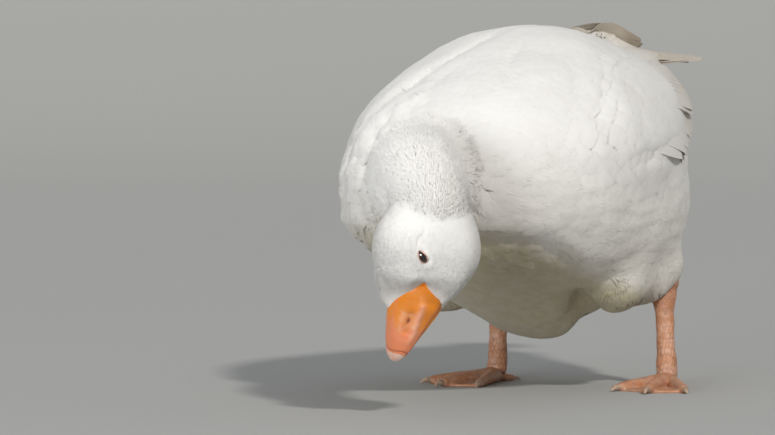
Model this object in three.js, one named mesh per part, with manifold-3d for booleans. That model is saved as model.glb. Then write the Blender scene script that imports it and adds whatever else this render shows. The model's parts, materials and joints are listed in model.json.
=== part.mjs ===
// A white domestic goose, grazing: a still, life-size model in millimetres, +Z up.
// It faces -Y, so its left side is +X. The pieces are laid out with the origin on the floor below the
// middle of the back, and moved at the end so that it is below the middle of the whole model.
import * as THREE from 'three';
import { mergeVertices } from 'three/addons/utils/BufferGeometryUtils.js';
import Module from 'manifold-3d';

const wasm = await Module();
wasm.setup();

// ---------------------------------------------------------------- driving sizes

const GAP = 0.3; // clearance left between two pieces that touch
const CAP_FULLNESS = 2.2; // how soon a tapered end reaches its full size

// trunk
const BREAST_Y = -213; // foremost point of the breast
const RUMP_Y = 312; // hindmost point of the rump

// head and bill, in the head's own frame: x forward from the bill tip, y left, z to the crown
const BILL_TIP = new THREE.Vector3(38, -319, 50);
const HEAD_YAW = 174.5; // degrees, heading of the bill seen from above
const HEAD_DIP = 56.9; // degrees, how steeply the bill points down
const HEAD_ROLL = -63.4; // degrees, turn about the bill's own line
const HEAD_BACK = -162;
const HEAD_FRONT = -56;
const BILL_BACK = -96; // rear end of the upper bill, inside the head
const TOMIUM_Z = -2; // height of the line where the two halves of the bill meet
const NAIL_LENGTH = 11;
const EYE_RADIUS = 8.8;
const EYE = new THREE.Vector3(-117.5, 27, 45.5);

// legs, each with the paths of its thigh and of its scaled shank, and the way its foot points
const LEGS = {
  left: {
    thigh: [[80, 6, 136], [80, 38, 112], [92, 82, 105], [107, 122, 100]],
    shank: [[107, 118, 104], [107, 118, 90], [111, 112, 62], [119, 100, 8]],
    heading: 12, // degrees, to its left
  },
  right: {
    thigh: [[-84, 6, 132], [-90, 40, 108], [-84, 82, 101], [-70, 112, 98]],
    shank: [[-68, 110, 104], [-68, 110, 90], [-65, 102, 62], [-60, 88, 8]],
    heading: -10,
  },
};
const THIGH_RADII = [37, 37, 31, 18];
const SHANK_RADII = [12, 12, 8.4, 8.4];

// feet
const TOES = [
  { name: 'inner', angle: -27, length: 76, radius: 6.2 },
  { name: 'middle', angle: 0, length: 92, radius: 6.8 },
  { name: 'outer', angle: 24, length: 84, radius: 6.2 },
];
const HIND_TOE = { name: 'hind', angle: 165, length: 22, radius: 4.2 };
const WEB_THICKNESS = 2.4;
const WEB_REACH = 0.95; // share of each toe's length that the web runs along
const WEB_FULLNESS = 0.88; // how far the web's edge stays out between two toes
const WEB_HEEL = 2; // how far the web reaches back behind the ankle
const CLAW_LENGTH = 12;
const CLAW_SEAT = 5; // how far behind the toe's tip its claw begins
const CLAW_STOUTNESS = 0.5; // radius of a claw over the radius of its toe

// tail
const TAIL_ROOT = new THREE.Vector3(0, 250, 320);
const TAIL_FEATHERS = 7;
const TAIL_REACH = 126; // root to tip of the middle feather
const TAIL_TAPER = 0.15; // how much shorter the outermost feathers are, as a share
const TAIL_SPREAD = 17; // degrees from the middle feather to the outermost ones
const TAIL_ARCH = 6; // how much lower the outermost feathers lie than the middle one
const TAIL_BLADE_WIDTH = 34;
const TAIL_BLADE_THICKNESS = 3;
const TAIL_ROOT_HALF_WIDTH = 15;
const TAIL_LIFT = 3; // degrees that the fan points up
const QUILL_LENGTH = 20; // part of a blade that runs forward into the body
const TAIL_COVERTS = [[0, 190, 306], [0, 240, 320], [0, 296, 323], [0, 335, 323]];
const TAIL_COVERT_RADII = [50, 44, 36, 20];
const TAIL_COVERT_FLATNESS = 0.34;

// ---------------------------------------------------------------- materials

function finish(color, roughness) {
  return () => new THREE.MeshStandardMaterial({ color, roughness, metalness: 0 });
}

const plumage = finish('#f2efe9', 0.85);
const quills = finish('#ece4d4', 0.75);
const billHorn = finish('#f0803a', 0.45);
const nailHorn = finish('#ecc9b4', 0.4);
const legSkin = finish('#e08a58', 0.55);
const clawHorn = finish('#c9a58a', 0.4);
const eyeGlass = finish('#2c1a10', 0.08);

// ---------------------------------------------------------------- small tools

const radians = THREE.MathUtils.degToRad;

function vectors(points) {
  return points.map((point) => new THREE.Vector3(...point));
}

// Smooth value at `at`, between [place, value] stations, flat beyond both ends.
function between(stations, at) {
  const last = stations.length - 1;
  if (at <= stations[0][0]) return stations[0][1];
  if (at >= stations[last][0]) return stations[last][1];
  const i = stations.findIndex(([place]) => place > at) - 1;
  const slope = (a, b) => (stations[b][1] - stations[a][1]) / (stations[b][0] - stations[a][0]);
  const step = stations[i + 1][0] - stations[i][0];
  const t = (at - stations[i][0]) / step;
  const startSlope = slope(Math.max(i - 1, 0), i + 1) * step;
  const endSlope = slope(i, Math.min(i + 2, last)) * step;
  const [start, end] = [stations[i][1], stations[i + 1][1]];
  return (
    (2 * t ** 3 - 3 * t ** 2 + 1) * start +
    (t ** 3 - 2 * t ** 2 + t) * startSlope +
    (3 * t ** 2 - 2 * t ** 3) * end +
    (t ** 3 - t ** 2) * endSlope
  );
}

// A signed power, which turns an ellipse into a fuller or a sharper oval.
function bend(value, exponent) {
  return Math.sign(value) * Math.abs(value) ** exponent;
}

function signedVolume(points, triangles) {
  const [a, b, c] = [new THREE.Vector3(), new THREE.Vector3(), new THREE.Vector3()];
  let sum = 0;
  for (let i = 0; i < triangles.length; i += 3) {
    a.fromArray(points, 3 * triangles[i]);
    b.fromArray(points, 3 * triangles[i + 1]);
    c.fromArray(points, 3 * triangles[i + 2]);
    sum += a.dot(b.cross(c)) / 6;
  }
  return sum;
}

// A closed geometry as a solid, turned face-out if its shaping left it inside out.
function solid(geometry) {
  const bare = geometry.clone();
  bare.deleteAttribute('normal');
  bare.deleteAttribute('uv');
  const merged = mergeVertices(bare, 1e-4);
  const vertProperties = new Float32Array(merged.attributes.position.array);
  const triVerts = new Uint32Array(merged.index.array);
  if (signedVolume(vertProperties, triVerts) < 0) {
    for (let i = 0; i < triVerts.length; i += 3) {
      [triVerts[i], triVerts[i + 1]] = [triVerts[i + 1], triVerts[i]];
    }
  }
  return new wasm.Manifold(new wasm.Mesh({ numProp: 3, vertProperties, triVerts }));
}

function surface(body) {
  const { vertProperties, triVerts } = body.getMesh();
  const geometry = new THREE.BufferGeometry();
  geometry.setAttribute('position', new THREE.BufferAttribute(vertProperties, 3));
  geometry.setIndex(new THREE.BufferAttribute(triVerts, 1));
  geometry.computeVertexNormals();
  return geometry;
}

function moved(body, matrix) {
  return solid(surface(body).applyMatrix4(matrix));
}

// The same smooth body, thicker by the gap all over, to cut its neighbours with.
function grown(body) {
  const geometry = surface(body);
  const { position, normal } = geometry.attributes;
  const point = new THREE.Vector3();
  const outward = new THREE.Vector3();
  for (let i = 0; i < position.count; i += 1) {
    point.fromBufferAttribute(position, i);
    point.addScaledVector(outward.fromBufferAttribute(normal, i), GAP);
    position.setXYZ(i, point.x, point.y, point.z);
  }
  return solid(geometry);
}

// The largest piece of a solid, without the crumbs that a cut may leave.
function largest(body) {
  return body.decompose().sort((a, b) => b.volume() - a.volume())[0];
}

// A sphere reshaped by place(along, around): along runs 0 to 1 from pole to pole, around in radians.
function shaped(steps, sides, place) {
  const geometry = new THREE.SphereGeometry(1, sides, steps);
  const { position } = geometry.attributes;
  for (let i = 0; i < position.count; i += 1) {
    const row = Math.floor(i / (sides + 1));
    const column = (i % (sides + 1)) % sides;
    const point = place(row / steps, (2 * Math.PI * column) / sides);
    position.setXYZ(i, point.x, point.y, point.z);
  }
  return geometry;
}

function isPole(along) {
  return along === 0 || along === 1;
}

// A body of oval sections along x, between two poles. Each table gives a size over q, -1 to 1.
function ovals({ steps, sides, start, end, width, centre, above, below, roundAbove, roundBelow }) {
  return shaped(steps, sides, (along, around) => {
    const q = -Math.cos(Math.PI * along);
    const swell = isPole(along) ? 0 : Math.sqrt(1 - q * q);
    const [level, round] = around > Math.PI ? [below, roundBelow] : [above, roundAbove];
    return new THREE.Vector3(
      (start + end) / 2 + (q * (end - start)) / 2,
      swell * between(width, q) * bend(Math.cos(around), 2 / round),
      between(centre, q) + swell * between(level, q) * bend(Math.sin(around), 2 / round),
    );
  });
}

// A tube along a curve, closed to a pole at each end, with its radii spread evenly along it.
function limb(points, radii, steps, sides, flatness = 1) {
  const curve = new THREE.CatmullRomCurve3(vectors(points));
  const stations = radii.map((radius, i) => [i / (radii.length - 1), radius]);
  const side = new THREE.Vector3(1, 0, 0);
  return shaped(steps, sides, (along, around) => {
    const t = (1 - Math.cos(Math.PI * along)) / 2;
    const tangent = curve.getTangent(t);
    const across = side.clone().addScaledVector(tangent, -side.dot(tangent)).normalize();
    const over = tangent.clone().cross(across);
    const closing = isPole(along) ? 0 : Math.min(1, Math.sin(Math.PI * along) * CAP_FULLNESS);
    const radius = between(stations, t) * closing;
    return curve
      .getPoint(t)
      .addScaledVector(across, radius * Math.cos(around))
      .addScaledVector(over, radius * flatness * Math.sin(around));
  });
}

// ---------------------------------------------------------------- wings

// Edges of the folded left wing from the wrist back to the tip. Its lower edge is tucked into the
// flank, and the right wing lies higher over the rump than the left one.
const WING_FRONT_LOWER = [[104, -130, 212], [126, -66, 194], [140, 14, 192], [128, 90, 204]];
const WING_FRONT_UPPER = [[90, -134, 234], [94, -74, 284], [74, 0, 320], [56, 78, 330]];
const WINGS = {
  left: {
    lower: [...WING_FRONT_LOWER, [103, 150, 220], [84, 205, 237], [62, 262, 258]],
    upper: [...WING_FRONT_UPPER, [45, 150, 316], [41, 212, 301], [44, 268, 288]],
  },
  right: {
    lower: [...WING_FRONT_LOWER, [103, 150, 222], [78, 208, 248], [44, 282, 290]],
    upper: [...WING_FRONT_UPPER, [30, 150, 345], [6, 215, 352], [-4, 284, 336]],
  },
};
const WING_CAMBER = [[0, 6], [0.15, 16], [0.5, 26], [0.75, 22], [1, 6]];
const WING_THICKNESS = [[0, 8], [0.2, 13], [0.6, 15], [0.85, 12], [1, 8]];
const WING_HEADROOM = 16; // how far out the trunk is cleared above a wing
const WING_STEPS = 18;
const WING_SIDES = 12;
const MIRROR_X = new THREE.Matrix4().makeScale(-1, 1, 1);

// A curved lens between the two edges, rounded off at the wrist and at the tip. Headroom adds to its
// outer face only.
function foldedWing({ lower, upper }, headroom = 0) {
  const lowerEdge = new THREE.CatmullRomCurve3(vectors(lower));
  const upperEdge = new THREE.CatmullRomCurve3(vectors(upper));
  return shaped(WING_STEPS, WING_SIDES, (along, around) => {
    const t = (1 - Math.cos(Math.PI * along)) / 2;
    const low = lowerEdge.getPoint(t);
    const chord = upperEdge.getPoint(t).sub(low);
    const outward = new THREE.Vector3(chord.z, 0, -chord.x).normalize();
    const closing = isPole(along) ? 0 : Math.min(1, Math.sin(Math.PI * along) * CAP_FULLNESS);
    const girth = Math.cos(around) * closing;
    const rise = between(WING_CAMBER, t) * (1 - girth * girth);
    const half = between(WING_THICKNESS, t) + (around < Math.PI ? headroom : 0);
    const bulge = half * Math.sin(around) * closing;
    return low.addScaledVector(chord, (1 + girth) / 2).addScaledVector(outward, rise + bulge);
  });
}

function bothWings(headroom) {
  return {
    left: solid(foldedWing(WINGS.left, headroom)),
    right: solid(foldedWing(WINGS.right, headroom).applyMatrix4(MIRROR_X)),
  };
}

const wings = bothWings(0);
const wingRooms = bothWings(WING_HEADROOM);

// ---------------------------------------------------------------- trunk

// Tables over q, from -1 at the breast to 1 at the rump.
const TRUNK = {
  steps: 26,
  sides: 24,
  start: BREAST_Y,
  end: RUMP_Y,
  width: [[-1, 176], [-0.6, 160], [-0.2, 146], [0.24, 136], [0.5, 122], [0.75, 98], [1, 84]],
  centre: [[-1, 190], [-0.2, 184], [0.2, 172], [0.5, 186], [0.8, 244], [1, 288]],
  above: [[-1, 138], [-0.5, 151], [0, 174], [0.4, 171], [0.75, 134], [1, 105]],
  below: [[-1, 130], [-0.6, 116], [-0.2, 125], [0.12, 130], [0.38, 112], [0.75, 92], [1, 82]],
  roundAbove: 2.4,
  roundBelow: 1.8,
};

// Turns a body that runs along x to run along Y.
const ALONG_Y = new THREE.Matrix4().makeBasis(
  new THREE.Vector3(0, 1, 0),
  new THREE.Vector3(1, 0, 0),
  new THREE.Vector3(0, 0, 1),
);

const trunk = solid(ovals(TRUNK).applyMatrix4(ALONG_Y));
const trunkClear = grown(trunk);

// ---------------------------------------------------------------- head and bill

const headPose = new THREE.Matrix4()
  .makeRotationFromEuler(new THREE.Euler(radians(HEAD_ROLL), radians(HEAD_DIP), radians(HEAD_YAW), 'ZYX'))
  .setPosition(BILL_TIP);

// In these three tables q runs from -1 at the rear end to 1 at the front end.
const HEAD = {
  steps: 14,
  sides: 16,
  start: HEAD_BACK,
  end: HEAD_FRONT,
  width: [[-1, 40], [-0.4, 38], [0, 37], [0.5, 40], [1, 50]],
  centre: [[-1, 22], [-0.3, 18], [0.3, 12], [1, 10]],
  above: [[-1, 62], [-0.3, 65], [0.2, 64], [0.6, 61], [1, 62]],
  below: [[-1, 42], [-0.3, 45], [0.2, 46], [0.6, 45], [1, 40]],
  roundAbove: 2.1,
  roundBelow: 2.2,
};

const BILL_UPPER = {
  steps: 14,
  sides: 14,
  start: BILL_BACK,
  end: 0,
  width: [[-1, 30], [-0.54, 28], [-0.15, 21], [0.17, 18.8], [0.5, 19], [0.8, 20], [1, 19]],
  centre: [[-1, 8], [0, 6], [1, 0]],
  above: [[-1, 36], [-0.67, 34], [-0.35, 27], [0, 22.5], [0.5, 17], [0.75, 15], [1, 13]],
  below: [[-1, 20], [1, 10]],
  roundAbove: 2,
  roundBelow: 3,
};

const BILL_LOWER = {
  steps: 12,
  sides: 12,
  start: BILL_BACK + 6,
  end: -5,
  width: [[-1, 25], [-0.5, 22], [0, 17], [0.5, 15], [1, 16]],
  centre: [[-1, -5], [1, -4]],
  above: [[-1, 9], [1, 6]],
  below: [[-1, 11], [-0.5, 9.5], [0, 7], [0.5, 5.5], [1, 5]],
  roundAbove: 3,
  roundBelow: 2,
};

const REACH = 200; // half the size of a cutting block, beyond every piece of the head

function inHead(geometry) {
  return solid(geometry.applyMatrix4(headPose));
}

// A large block of the head frame with one face at the given place: below it in z, or ahead in x.
function blockBelow(z) {
  const block = new THREE.BoxGeometry(2 * REACH, 2 * REACH, REACH);
  return inHead(block.translate(0, 0, z - REACH / 2));
}

function blockAhead(x) {
  const block = new THREE.BoxGeometry(REACH, 2 * REACH, 2 * REACH);
  return inHead(block.translate(x + REACH / 2, 0, 0));
}

function eyeBall(side) {
  const ball = new THREE.SphereGeometry(EYE_RADIUS, 12, 8);
  return inHead(ball.rotateX(Math.PI / 2).translate(EYE.x, side * EYE.y, EYE.z));
}

const billUpper = inHead(ovals(BILL_UPPER)).subtract(blockBelow(TOMIUM_Z));
const billLowerWhole = inHead(ovals(BILL_LOWER));
const billLower = billLowerWhole.intersect(blockBelow(TOMIUM_Z - GAP));
const billClear = grown(inHead(ovals(BILL_UPPER))).add(grown(billLowerWhole));
const eyes = { left: eyeBall(1), right: eyeBall(-1) };
const headWhole = inHead(ovals(HEAD));
const eyesClear = grown(eyes.left).add(grown(eyes.right));
const head = headWhole.subtract(billClear).subtract(eyesClear);

// ---------------------------------------------------------------- neck

const NECK_PATH = [
  [-10, -104, 194],
  [-2, -168, 202],
  [14, -226, 209],
  [38, -278, 211],
  [69, -322, 208],
  [93, -348, 194],
  [98, -348, 166],
];
const NECK_RADII = [74, 52, 43, 42, 42, 37, 33];
const NECK_DEPTH = 1.12; // its height over its width
const NECK_PARTINGS = [0.43, 0.68]; // places along the neck where it is parted into lengths

const neckCurve = new THREE.CatmullRomCurve3(vectors(NECK_PATH));
const neck = solid(limb(NECK_PATH, NECK_RADII, 18, 16, NECK_DEPTH))
  .subtract(trunkClear)
  .subtract(grown(headWhole))
  .subtract(eyesClear);

// What is left of the neck past a plane across it, on the side that `sign` faces.
function pastParting(body, place, sign) {
  const facing = neckCurve.getTangent(place).multiplyScalar(sign);
  return body.trimByPlane(facing.toArray(), facing.dot(neckCurve.getPoint(place)) + GAP / 2);
}

const [lowerParting, upperParting] = NECK_PARTINGS;
const neckLengths = {
  lower: pastParting(neck, lowerParting, -1),
  middle: pastParting(pastParting(neck, lowerParting, 1), upperParting, -1),
  upper: pastParting(neck, upperParting, 1),
};

// ---------------------------------------------------------------- tail

// One blade along +Y from its root: half as wide at the quill, full at mid length, with a blunt tip.
function tailBlade(reach) {
  const half = TAIL_BLADE_WIDTH / 2;
  const shape = new THREE.Shape();
  shape.moveTo(-half / 2, -QUILL_LENGTH);
  shape.lineTo(half / 2, -QUILL_LENGTH);
  shape.lineTo(half, reach / 2);
  shape.quadraticCurveTo(half, reach, 0, reach);
  shape.quadraticCurveTo(-half, reach, -half, reach / 2);
  const depth = TAIL_BLADE_THICKNESS;
  return new THREE.ExtrudeGeometry(shape, { depth, bevelEnabled: false, curveSegments: 3 });
}

// The fan of blades, with the short feathers over and under their roots.
function tailFan() {
  let fan = solid(limb(TAIL_COVERTS, TAIL_COVERT_RADII, 8, 12, TAIL_COVERT_FLATNESS));
  for (let i = 0; i < TAIL_FEATHERS; i += 1) {
    const aside = (2 * i) / (TAIL_FEATHERS - 1) - 1; // -1 to 1 across the fan
    const blade = tailBlade(TAIL_REACH * (1 - TAIL_TAPER * aside * aside))
      .rotateY(radians(TAIL_ARCH * aside))
      .rotateZ(-radians(TAIL_SPREAD * aside))
      .rotateX(radians(TAIL_LIFT))
      .translate(
        TAIL_ROOT.x + TAIL_ROOT_HALF_WIDTH * aside,
        TAIL_ROOT.y,
        TAIL_ROOT.z - TAIL_ARCH * aside * aside,
      );
    fan = fan.add(solid(blade));
  }
  return fan;
}

// ---------------------------------------------------------------- legs and feet

function footPose({ shank, heading }) {
  const [x, y] = shank.at(-1);
  return new THREE.Matrix4().makeRotationZ(radians(heading)).setPosition(x, y, 0);
}

// Keeps a shape at or above the sole level, which leaves a small flat under each toe.
function pressedFlat(geometry) {
  const { position } = geometry.attributes;
  for (let i = 0; i < position.count; i += 1) {
    position.setZ(i, Math.max(0, position.getZ(i)));
  }
  return geometry;
}

function alongToe({ angle }, reach, z) {
  return [Math.sin(radians(angle)) * reach, -Math.cos(radians(angle)) * reach, z];
}

// Stations of a toe and of a claw: share of its length, then height and radius over its own radius.
const TOE_STATIONS = [[0, 1.1, 1.25], [0.3, 1, 1.05], [0.7, 0.8, 0.85], [1, 0.62, 0.66]];
const CLAW_STATIONS = [[0, 1.2, 1], [0.6, 1.3, 0.8], [1, 0.6, 0.4]];

function rayBody(toe, stations, start, length, radius, steps, sides) {
  const path = stations.map(([share, height]) => alongToe(toe, start + share * length, height * radius));
  const radii = stations.map(([, , girth]) => girth * radius);
  return solid(pressedFlat(limb(path, radii, steps, sides)));
}

function toeBody(toe) {
  return rayBody(toe, TOE_STATIONS, 0, toe.length, toe.radius, 7, 7);
}

function clawBody(toe) {
  const radius = toe.radius * CLAW_STOUTNESS;
  return rayBody(toe, CLAW_STATIONS, toe.length - CLAW_SEAT, CLAW_LENGTH, radius, 4, 6);
}

function webBody() {
  const end = (toe) => new THREE.Vector2(...alongToe(toe, toe.length * WEB_REACH, 0));
  const [inner, middle, outer] = TOES.map(end);
  const dip = (from, to) => from.clone().add(to).multiplyScalar(WEB_FULLNESS / 2);
  const shape = new THREE.Shape();
  shape.moveTo(0, WEB_HEEL);
  shape.lineTo(inner.x, inner.y);
  shape.quadraticCurveTo(...dip(inner, middle), middle.x, middle.y);
  shape.quadraticCurveTo(...dip(middle, outer), outer.x, outer.y);
  shape.closePath();
  const depth = WEB_THICKNESS;
  return solid(new THREE.ExtrudeGeometry(shape, { depth, bevelEnabled: false, curveSegments: 4 }));
}

// ---------------------------------------------------------------- assembly

const goose = new THREE.Group();

function addPiece(name, body, material) {
  const mesh = new THREE.Mesh(surface(largest(body)), material());
  mesh.name = name;
  goose.add(mesh);
}

const wingsClear = grown(wings.left).add(grown(wings.right));
addPiece('wing_left', wings.left, plumage);
addPiece('wing_right', wings.right, plumage);
addPiece('tail', tailFan().subtract(trunkClear).subtract(wingsClear), quills);
for (const [place, length] of Object.entries(neckLengths)) {
  addPiece(`neck_${place}`, length.subtract(wingsClear), plumage);
}
addPiece('head', head, plumage);
addPiece('bill_upper', billUpper.subtract(blockAhead(-NAIL_LENGTH)), billHorn);
addPiece('bill_nail', billUpper.intersect(blockAhead(GAP - NAIL_LENGTH)), nailHorn);
addPiece('bill_lower', billLower, billHorn);

let trunkLeft = trunk.subtract(grown(wingRooms.left)).subtract(grown(wingRooms.right));
for (const [side, leg] of Object.entries(LEGS)) {
  const pose = footPose(leg);
  const shankBody = solid(limb(leg.shank, SHANK_RADII, 8, 10));
  const shankClear = grown(shankBody);
  const thighBody = solid(limb(leg.thigh, THIGH_RADII, 12, 14));
  const toes = [...TOES, HIND_TOE];
  const foot = toes.reduce((body, toe) => body.add(toeBody(toe)), webBody());
  const footInPlace = moved(foot, pose).subtract(shankClear);
  const footClear = grown(moved(foot, pose));
  trunkLeft = trunkLeft.subtract(shankClear);
  addPiece(`eye_${side}`, eyes[side], eyeGlass);
  addPiece(`thigh_${side}`, thighBody.subtract(shankClear).subtract(trunkClear), plumage);
  addPiece(`shank_${side}`, shankBody, legSkin);
  addPiece(`foot_${side}`, footInPlace, legSkin);
  for (const toe of toes) {
    addPiece(`claw_${toe.name}_${side}`, moved(clawBody(toe), pose).subtract(footClear), clawHorn);
  }
}

addPiece('trunk', trunkLeft, plumage);

const middle = new THREE.Box3().setFromObject(goose).getCenter(new THREE.Vector3());
for (const mesh of goose.children) {
  mesh.geometry.translate(-middle.x, -middle.y, 0);
}

export default goose;
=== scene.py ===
"""A white domestic goose, grazing: plumage, bill, eyes and legs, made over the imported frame."""

import json
import math

import bmesh
import bpy
import numpy as np
from mathutils import Euler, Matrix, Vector, noise
from mathutils.bvhtree import BVHTree

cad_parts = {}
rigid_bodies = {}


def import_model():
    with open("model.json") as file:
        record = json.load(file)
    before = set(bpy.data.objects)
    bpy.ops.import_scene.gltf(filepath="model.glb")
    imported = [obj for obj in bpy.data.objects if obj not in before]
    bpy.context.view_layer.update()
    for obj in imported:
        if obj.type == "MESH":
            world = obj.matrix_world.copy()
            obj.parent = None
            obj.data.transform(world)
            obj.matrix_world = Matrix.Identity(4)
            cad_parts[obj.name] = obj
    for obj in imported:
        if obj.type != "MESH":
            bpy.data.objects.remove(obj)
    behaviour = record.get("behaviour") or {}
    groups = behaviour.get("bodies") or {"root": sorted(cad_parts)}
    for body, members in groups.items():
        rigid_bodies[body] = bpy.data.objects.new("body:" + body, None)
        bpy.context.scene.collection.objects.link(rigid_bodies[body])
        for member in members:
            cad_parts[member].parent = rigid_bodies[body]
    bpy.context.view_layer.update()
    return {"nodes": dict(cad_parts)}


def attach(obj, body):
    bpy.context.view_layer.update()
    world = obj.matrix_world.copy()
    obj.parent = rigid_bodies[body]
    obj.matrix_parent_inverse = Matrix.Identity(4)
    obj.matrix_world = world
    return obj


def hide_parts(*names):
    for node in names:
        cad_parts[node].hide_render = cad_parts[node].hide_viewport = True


bl_info = {
    "name": "Grazing goose",
    "version": (1, 0, 0),
    "blender": (4, 5, 0),
    "location": "3D View > Sidebar > Goose",
    "description": "Builds a life-size white domestic goose over its packed frame",
    "category": "Object",
}

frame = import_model()

MM = 0.001
SIDES = {"left": 1, "right": -1}
SHARP_ANGLE = math.radians(55)  # feathers shade as one surface up to this angle between their faces

# ------------------ places on the bird
# The head has its own axes: back from the bill tip, to the bird's left, and up to the crown.

BILL_TIP = np.array((0.0262325, -0.3079570, 0.0500))
HEAD_TURN = np.array(
    Euler((math.radians(-63.4), math.radians(56.9), math.radians(174.5)), "XYZ").to_matrix()
)
BACK, LEFT, CROWN = -HEAD_TURN[:, 0], HEAD_TURN[:, 1], HEAD_TURN[:, 2]
HEAD_AXES = np.stack([BACK, LEFT, CROWN])

MIDDLE_X = -11.8 * MM  # the body stands with its middle here, a little to the right of the frame's

# Neck, from inside the breast to the nape, in millimetres.
NECK_PATH = [
    (-21.8, -93, 194), (-13.8, -157, 202), (2.2, -215, 209), (26.2, -267, 211),
    (57.2, -311, 208), (81.2, -337, 194), (86.2, -337, 166),
]
TAIL_ROOT_PATH = [(-11.8, 201, 302), (-11.8, 251, 315), (-11.8, 307, 319), (-11.8, 340, 321)]
TAIL_ROOT_RADII = [46, 40, 30, 16]

# Legs: thigh and shank paths and the way each foot points.
SHANK_PATHS = {
    "left": [(95.2, 129, 108), (95.2, 129, 90), (99.2, 123, 62), (107.2, 111, 8)],
    "right": [(-79.8, 121, 108), (-79.8, 121, 90), (-76.8, 113, 62), (-71.8, 99, 8)],
}
THIGH_ENDS = {
    "left": [(78, 88, 120), (88, 110, 119), (96, 130, 119), (98, 143, 121)],
    "right": [(-90, 80, 118), (-87, 102, 117), (-82, 122, 117), (-81, 135, 119)],
}
THIGH_END_RADII = [26, 26, 26, 19]
SHANK_RADII = [12.5, 12.0, 8.4, 8.8]
FOOT_HEADINGS = {"left": 12, "right": -10}
TOES = [("inner", -27, 76, 6.2), ("middle", 0, 92, 6.8), ("outer", 24, 84, 6.2), ("hind", 165, 22, 4.2)]

# Bill borders, as (degrees round the bill from its ridge, millimetres back from the tip).
FEATHER_EDGE = [
    (0, 51.5), (17, 64), (34, 76.5), (47, 87), (63, 84.5), (91, 80), (104, 78), (135, 68), (180, 60),
]
RIGHT_FEATHER_EDGE = [
    (0, 51), (9, 47), (22, 45), (38, 48), (55, 58), (75, 70), (91, 77), (104, 78), (135, 68), (180, 60),
]
BILL_AXIS_HEIGHT = 7 * MM

EYE_PLACE = np.array((117.4, 25.6, 45.0)) * MM
EYE_FACING = np.array((0.05, 0.93, 0.36))
EYE_LONG_WAY = np.array((0.60, -0.34, 0.81))
EYE_BALL = 8.4 * MM
EYE_OPENING = (6.2 * MM, 3.5 * MM)  # half length and half height of the opening in the skin

FLESH = (
    "trunk", "neck_lower", "neck_middle", "neck_upper", "head",
    "thigh_left", "thigh_right", "wing_left", "wing_right",
)
# Values for each region of the skin stand in this order.
REGIONS = ("trunk", "neck", "head", "thigh", "wing", "rump")
REGION_SMOOTHING = [0.5, 0.42, 0.16, 0.4, 0.45, 0.3]
REGION_COAT_DEPTH = [7.0, 3.8, 1.5, 7.0, 5.5, 5.5]  # millimetres
REGION_LUMPS = [1.0, 0.5, 0.25, 0.8, 0.8, 0.6]


# ------------------ small tools

def table(stations, at):
    """Smooth values at `at` between (place, value) stations, flat beyond both ends."""
    x, y = np.array(stations, float).T
    slope = np.empty_like(y)
    slope[1:-1] = (y[2:] - y[:-2]) / (x[2:] - x[:-2])
    slope[0] = (y[1] - y[0]) / (x[1] - x[0])
    slope[-1] = (y[-1] - y[-2]) / (x[-1] - x[-2])
    at = np.clip(np.asarray(at, float), x[0], x[-1])
    i = np.clip(np.searchsorted(x, at, "right") - 1, 0, len(x) - 2)
    step = x[i + 1] - x[i]
    t = (at - x[i]) / step
    return (
        (2 * t**3 - 3 * t**2 + 1) * y[i]
        + (t**3 - 2 * t**2 + t) * step * slope[i]
        + (3 * t**2 - 2 * t**3) * y[i + 1]
        + (t**3 - t**2) * step * slope[i + 1]
    )


def along(points, t):
    """Places at `t`, 0 to 1, on a smooth line through the points."""
    points = np.array(points, float)
    share = np.linspace(0, 1, len(points))
    return np.stack([table(list(zip(share, points[:, k])), t) for k in range(3)], -1)


def ramp(low, high, value):
    """0 to 1 in a smooth step as the value passes from low to high, which may be the smaller."""
    t = np.clip((np.asarray(value, float) - low) / (high - low), 0, 1)
    return t * t * (3 - 2 * t)


def unit(vectors):
    return vectors / (np.linalg.norm(vectors, axis=-1, keepdims=True) + 1e-12)


def bend(value, exponent):
    return np.sign(value) * np.abs(value) ** exponent


def to_head(points):
    return (points - BILL_TIP) @ HEAD_AXES.T


def from_head(points):
    return BILL_TIP + points @ HEAD_AXES


def drawn_line(line, side=1, steps=24):
    """Places on a smooth line given in millimetres; side -1 mirrors it across the middle."""
    return along(np.array(line) * MM * (1, side, 1), np.linspace(0, 1, steps))


def distance_to_line(points, line):
    """Distance of each point from a polyline, and how far along it the nearest place is, 0 to 1."""
    best = np.full(len(points), 1e9)
    place = np.zeros(len(points))
    for i in range(len(line) - 1):
        a, b = line[i], line[i + 1]
        ab = b - a
        t = np.clip(((points - a) @ ab) / (ab @ ab), 0, 1)
        d = np.linalg.norm(points - (a + t[:, None] * ab), axis=1)
        nearer = d < best
        best[nearer] = d[nearer]
        place[nearer] = (i + t[nearer]) / (len(line) - 1)
    return best, place


def joined(shells):
    """Puts shells, each given as points and faces, together under one numbering."""
    points, faces = [], []
    start = 0
    for shell_points, shell_faces in shells:
        points.append(shell_points)
        faces += [[start + i for i in face] for face in shell_faces]
        start += len(shell_points)
    return np.concatenate(points), faces


def new_object(name, data):
    obj = bpy.data.objects.new(name, data)
    bpy.context.scene.collection.objects.link(obj)
    return obj


def mesh_object(name, points, faces):
    mesh = bpy.data.meshes.new(name)
    mesh.from_pydata([tuple(p) for p in points], [], [tuple(f) for f in faces])
    mesh.validate()
    mesh.update()
    mesh.shade_smooth()
    return new_object(name, mesh)


def add_values(mesh, **named):
    """Stores a number or a vector for each point under names that materials can read."""
    for name, values in named.items():
        values = np.asarray(values, np.float32)
        kind, field = ("FLOAT", "value") if values.ndim == 1 else ("FLOAT_VECTOR", "vector")
        mesh.attributes.new(name, kind, "POINT").data.foreach_set(field, values.ravel())


def values_of(items, field, width, kind=np.float32):
    out = np.empty(len(items) * width, kind)
    items.foreach_get(field, out)
    return out.reshape(-1, width)


def points_of(mesh):
    return values_of(mesh.vertices, "co", 3).astype(float)


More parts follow.
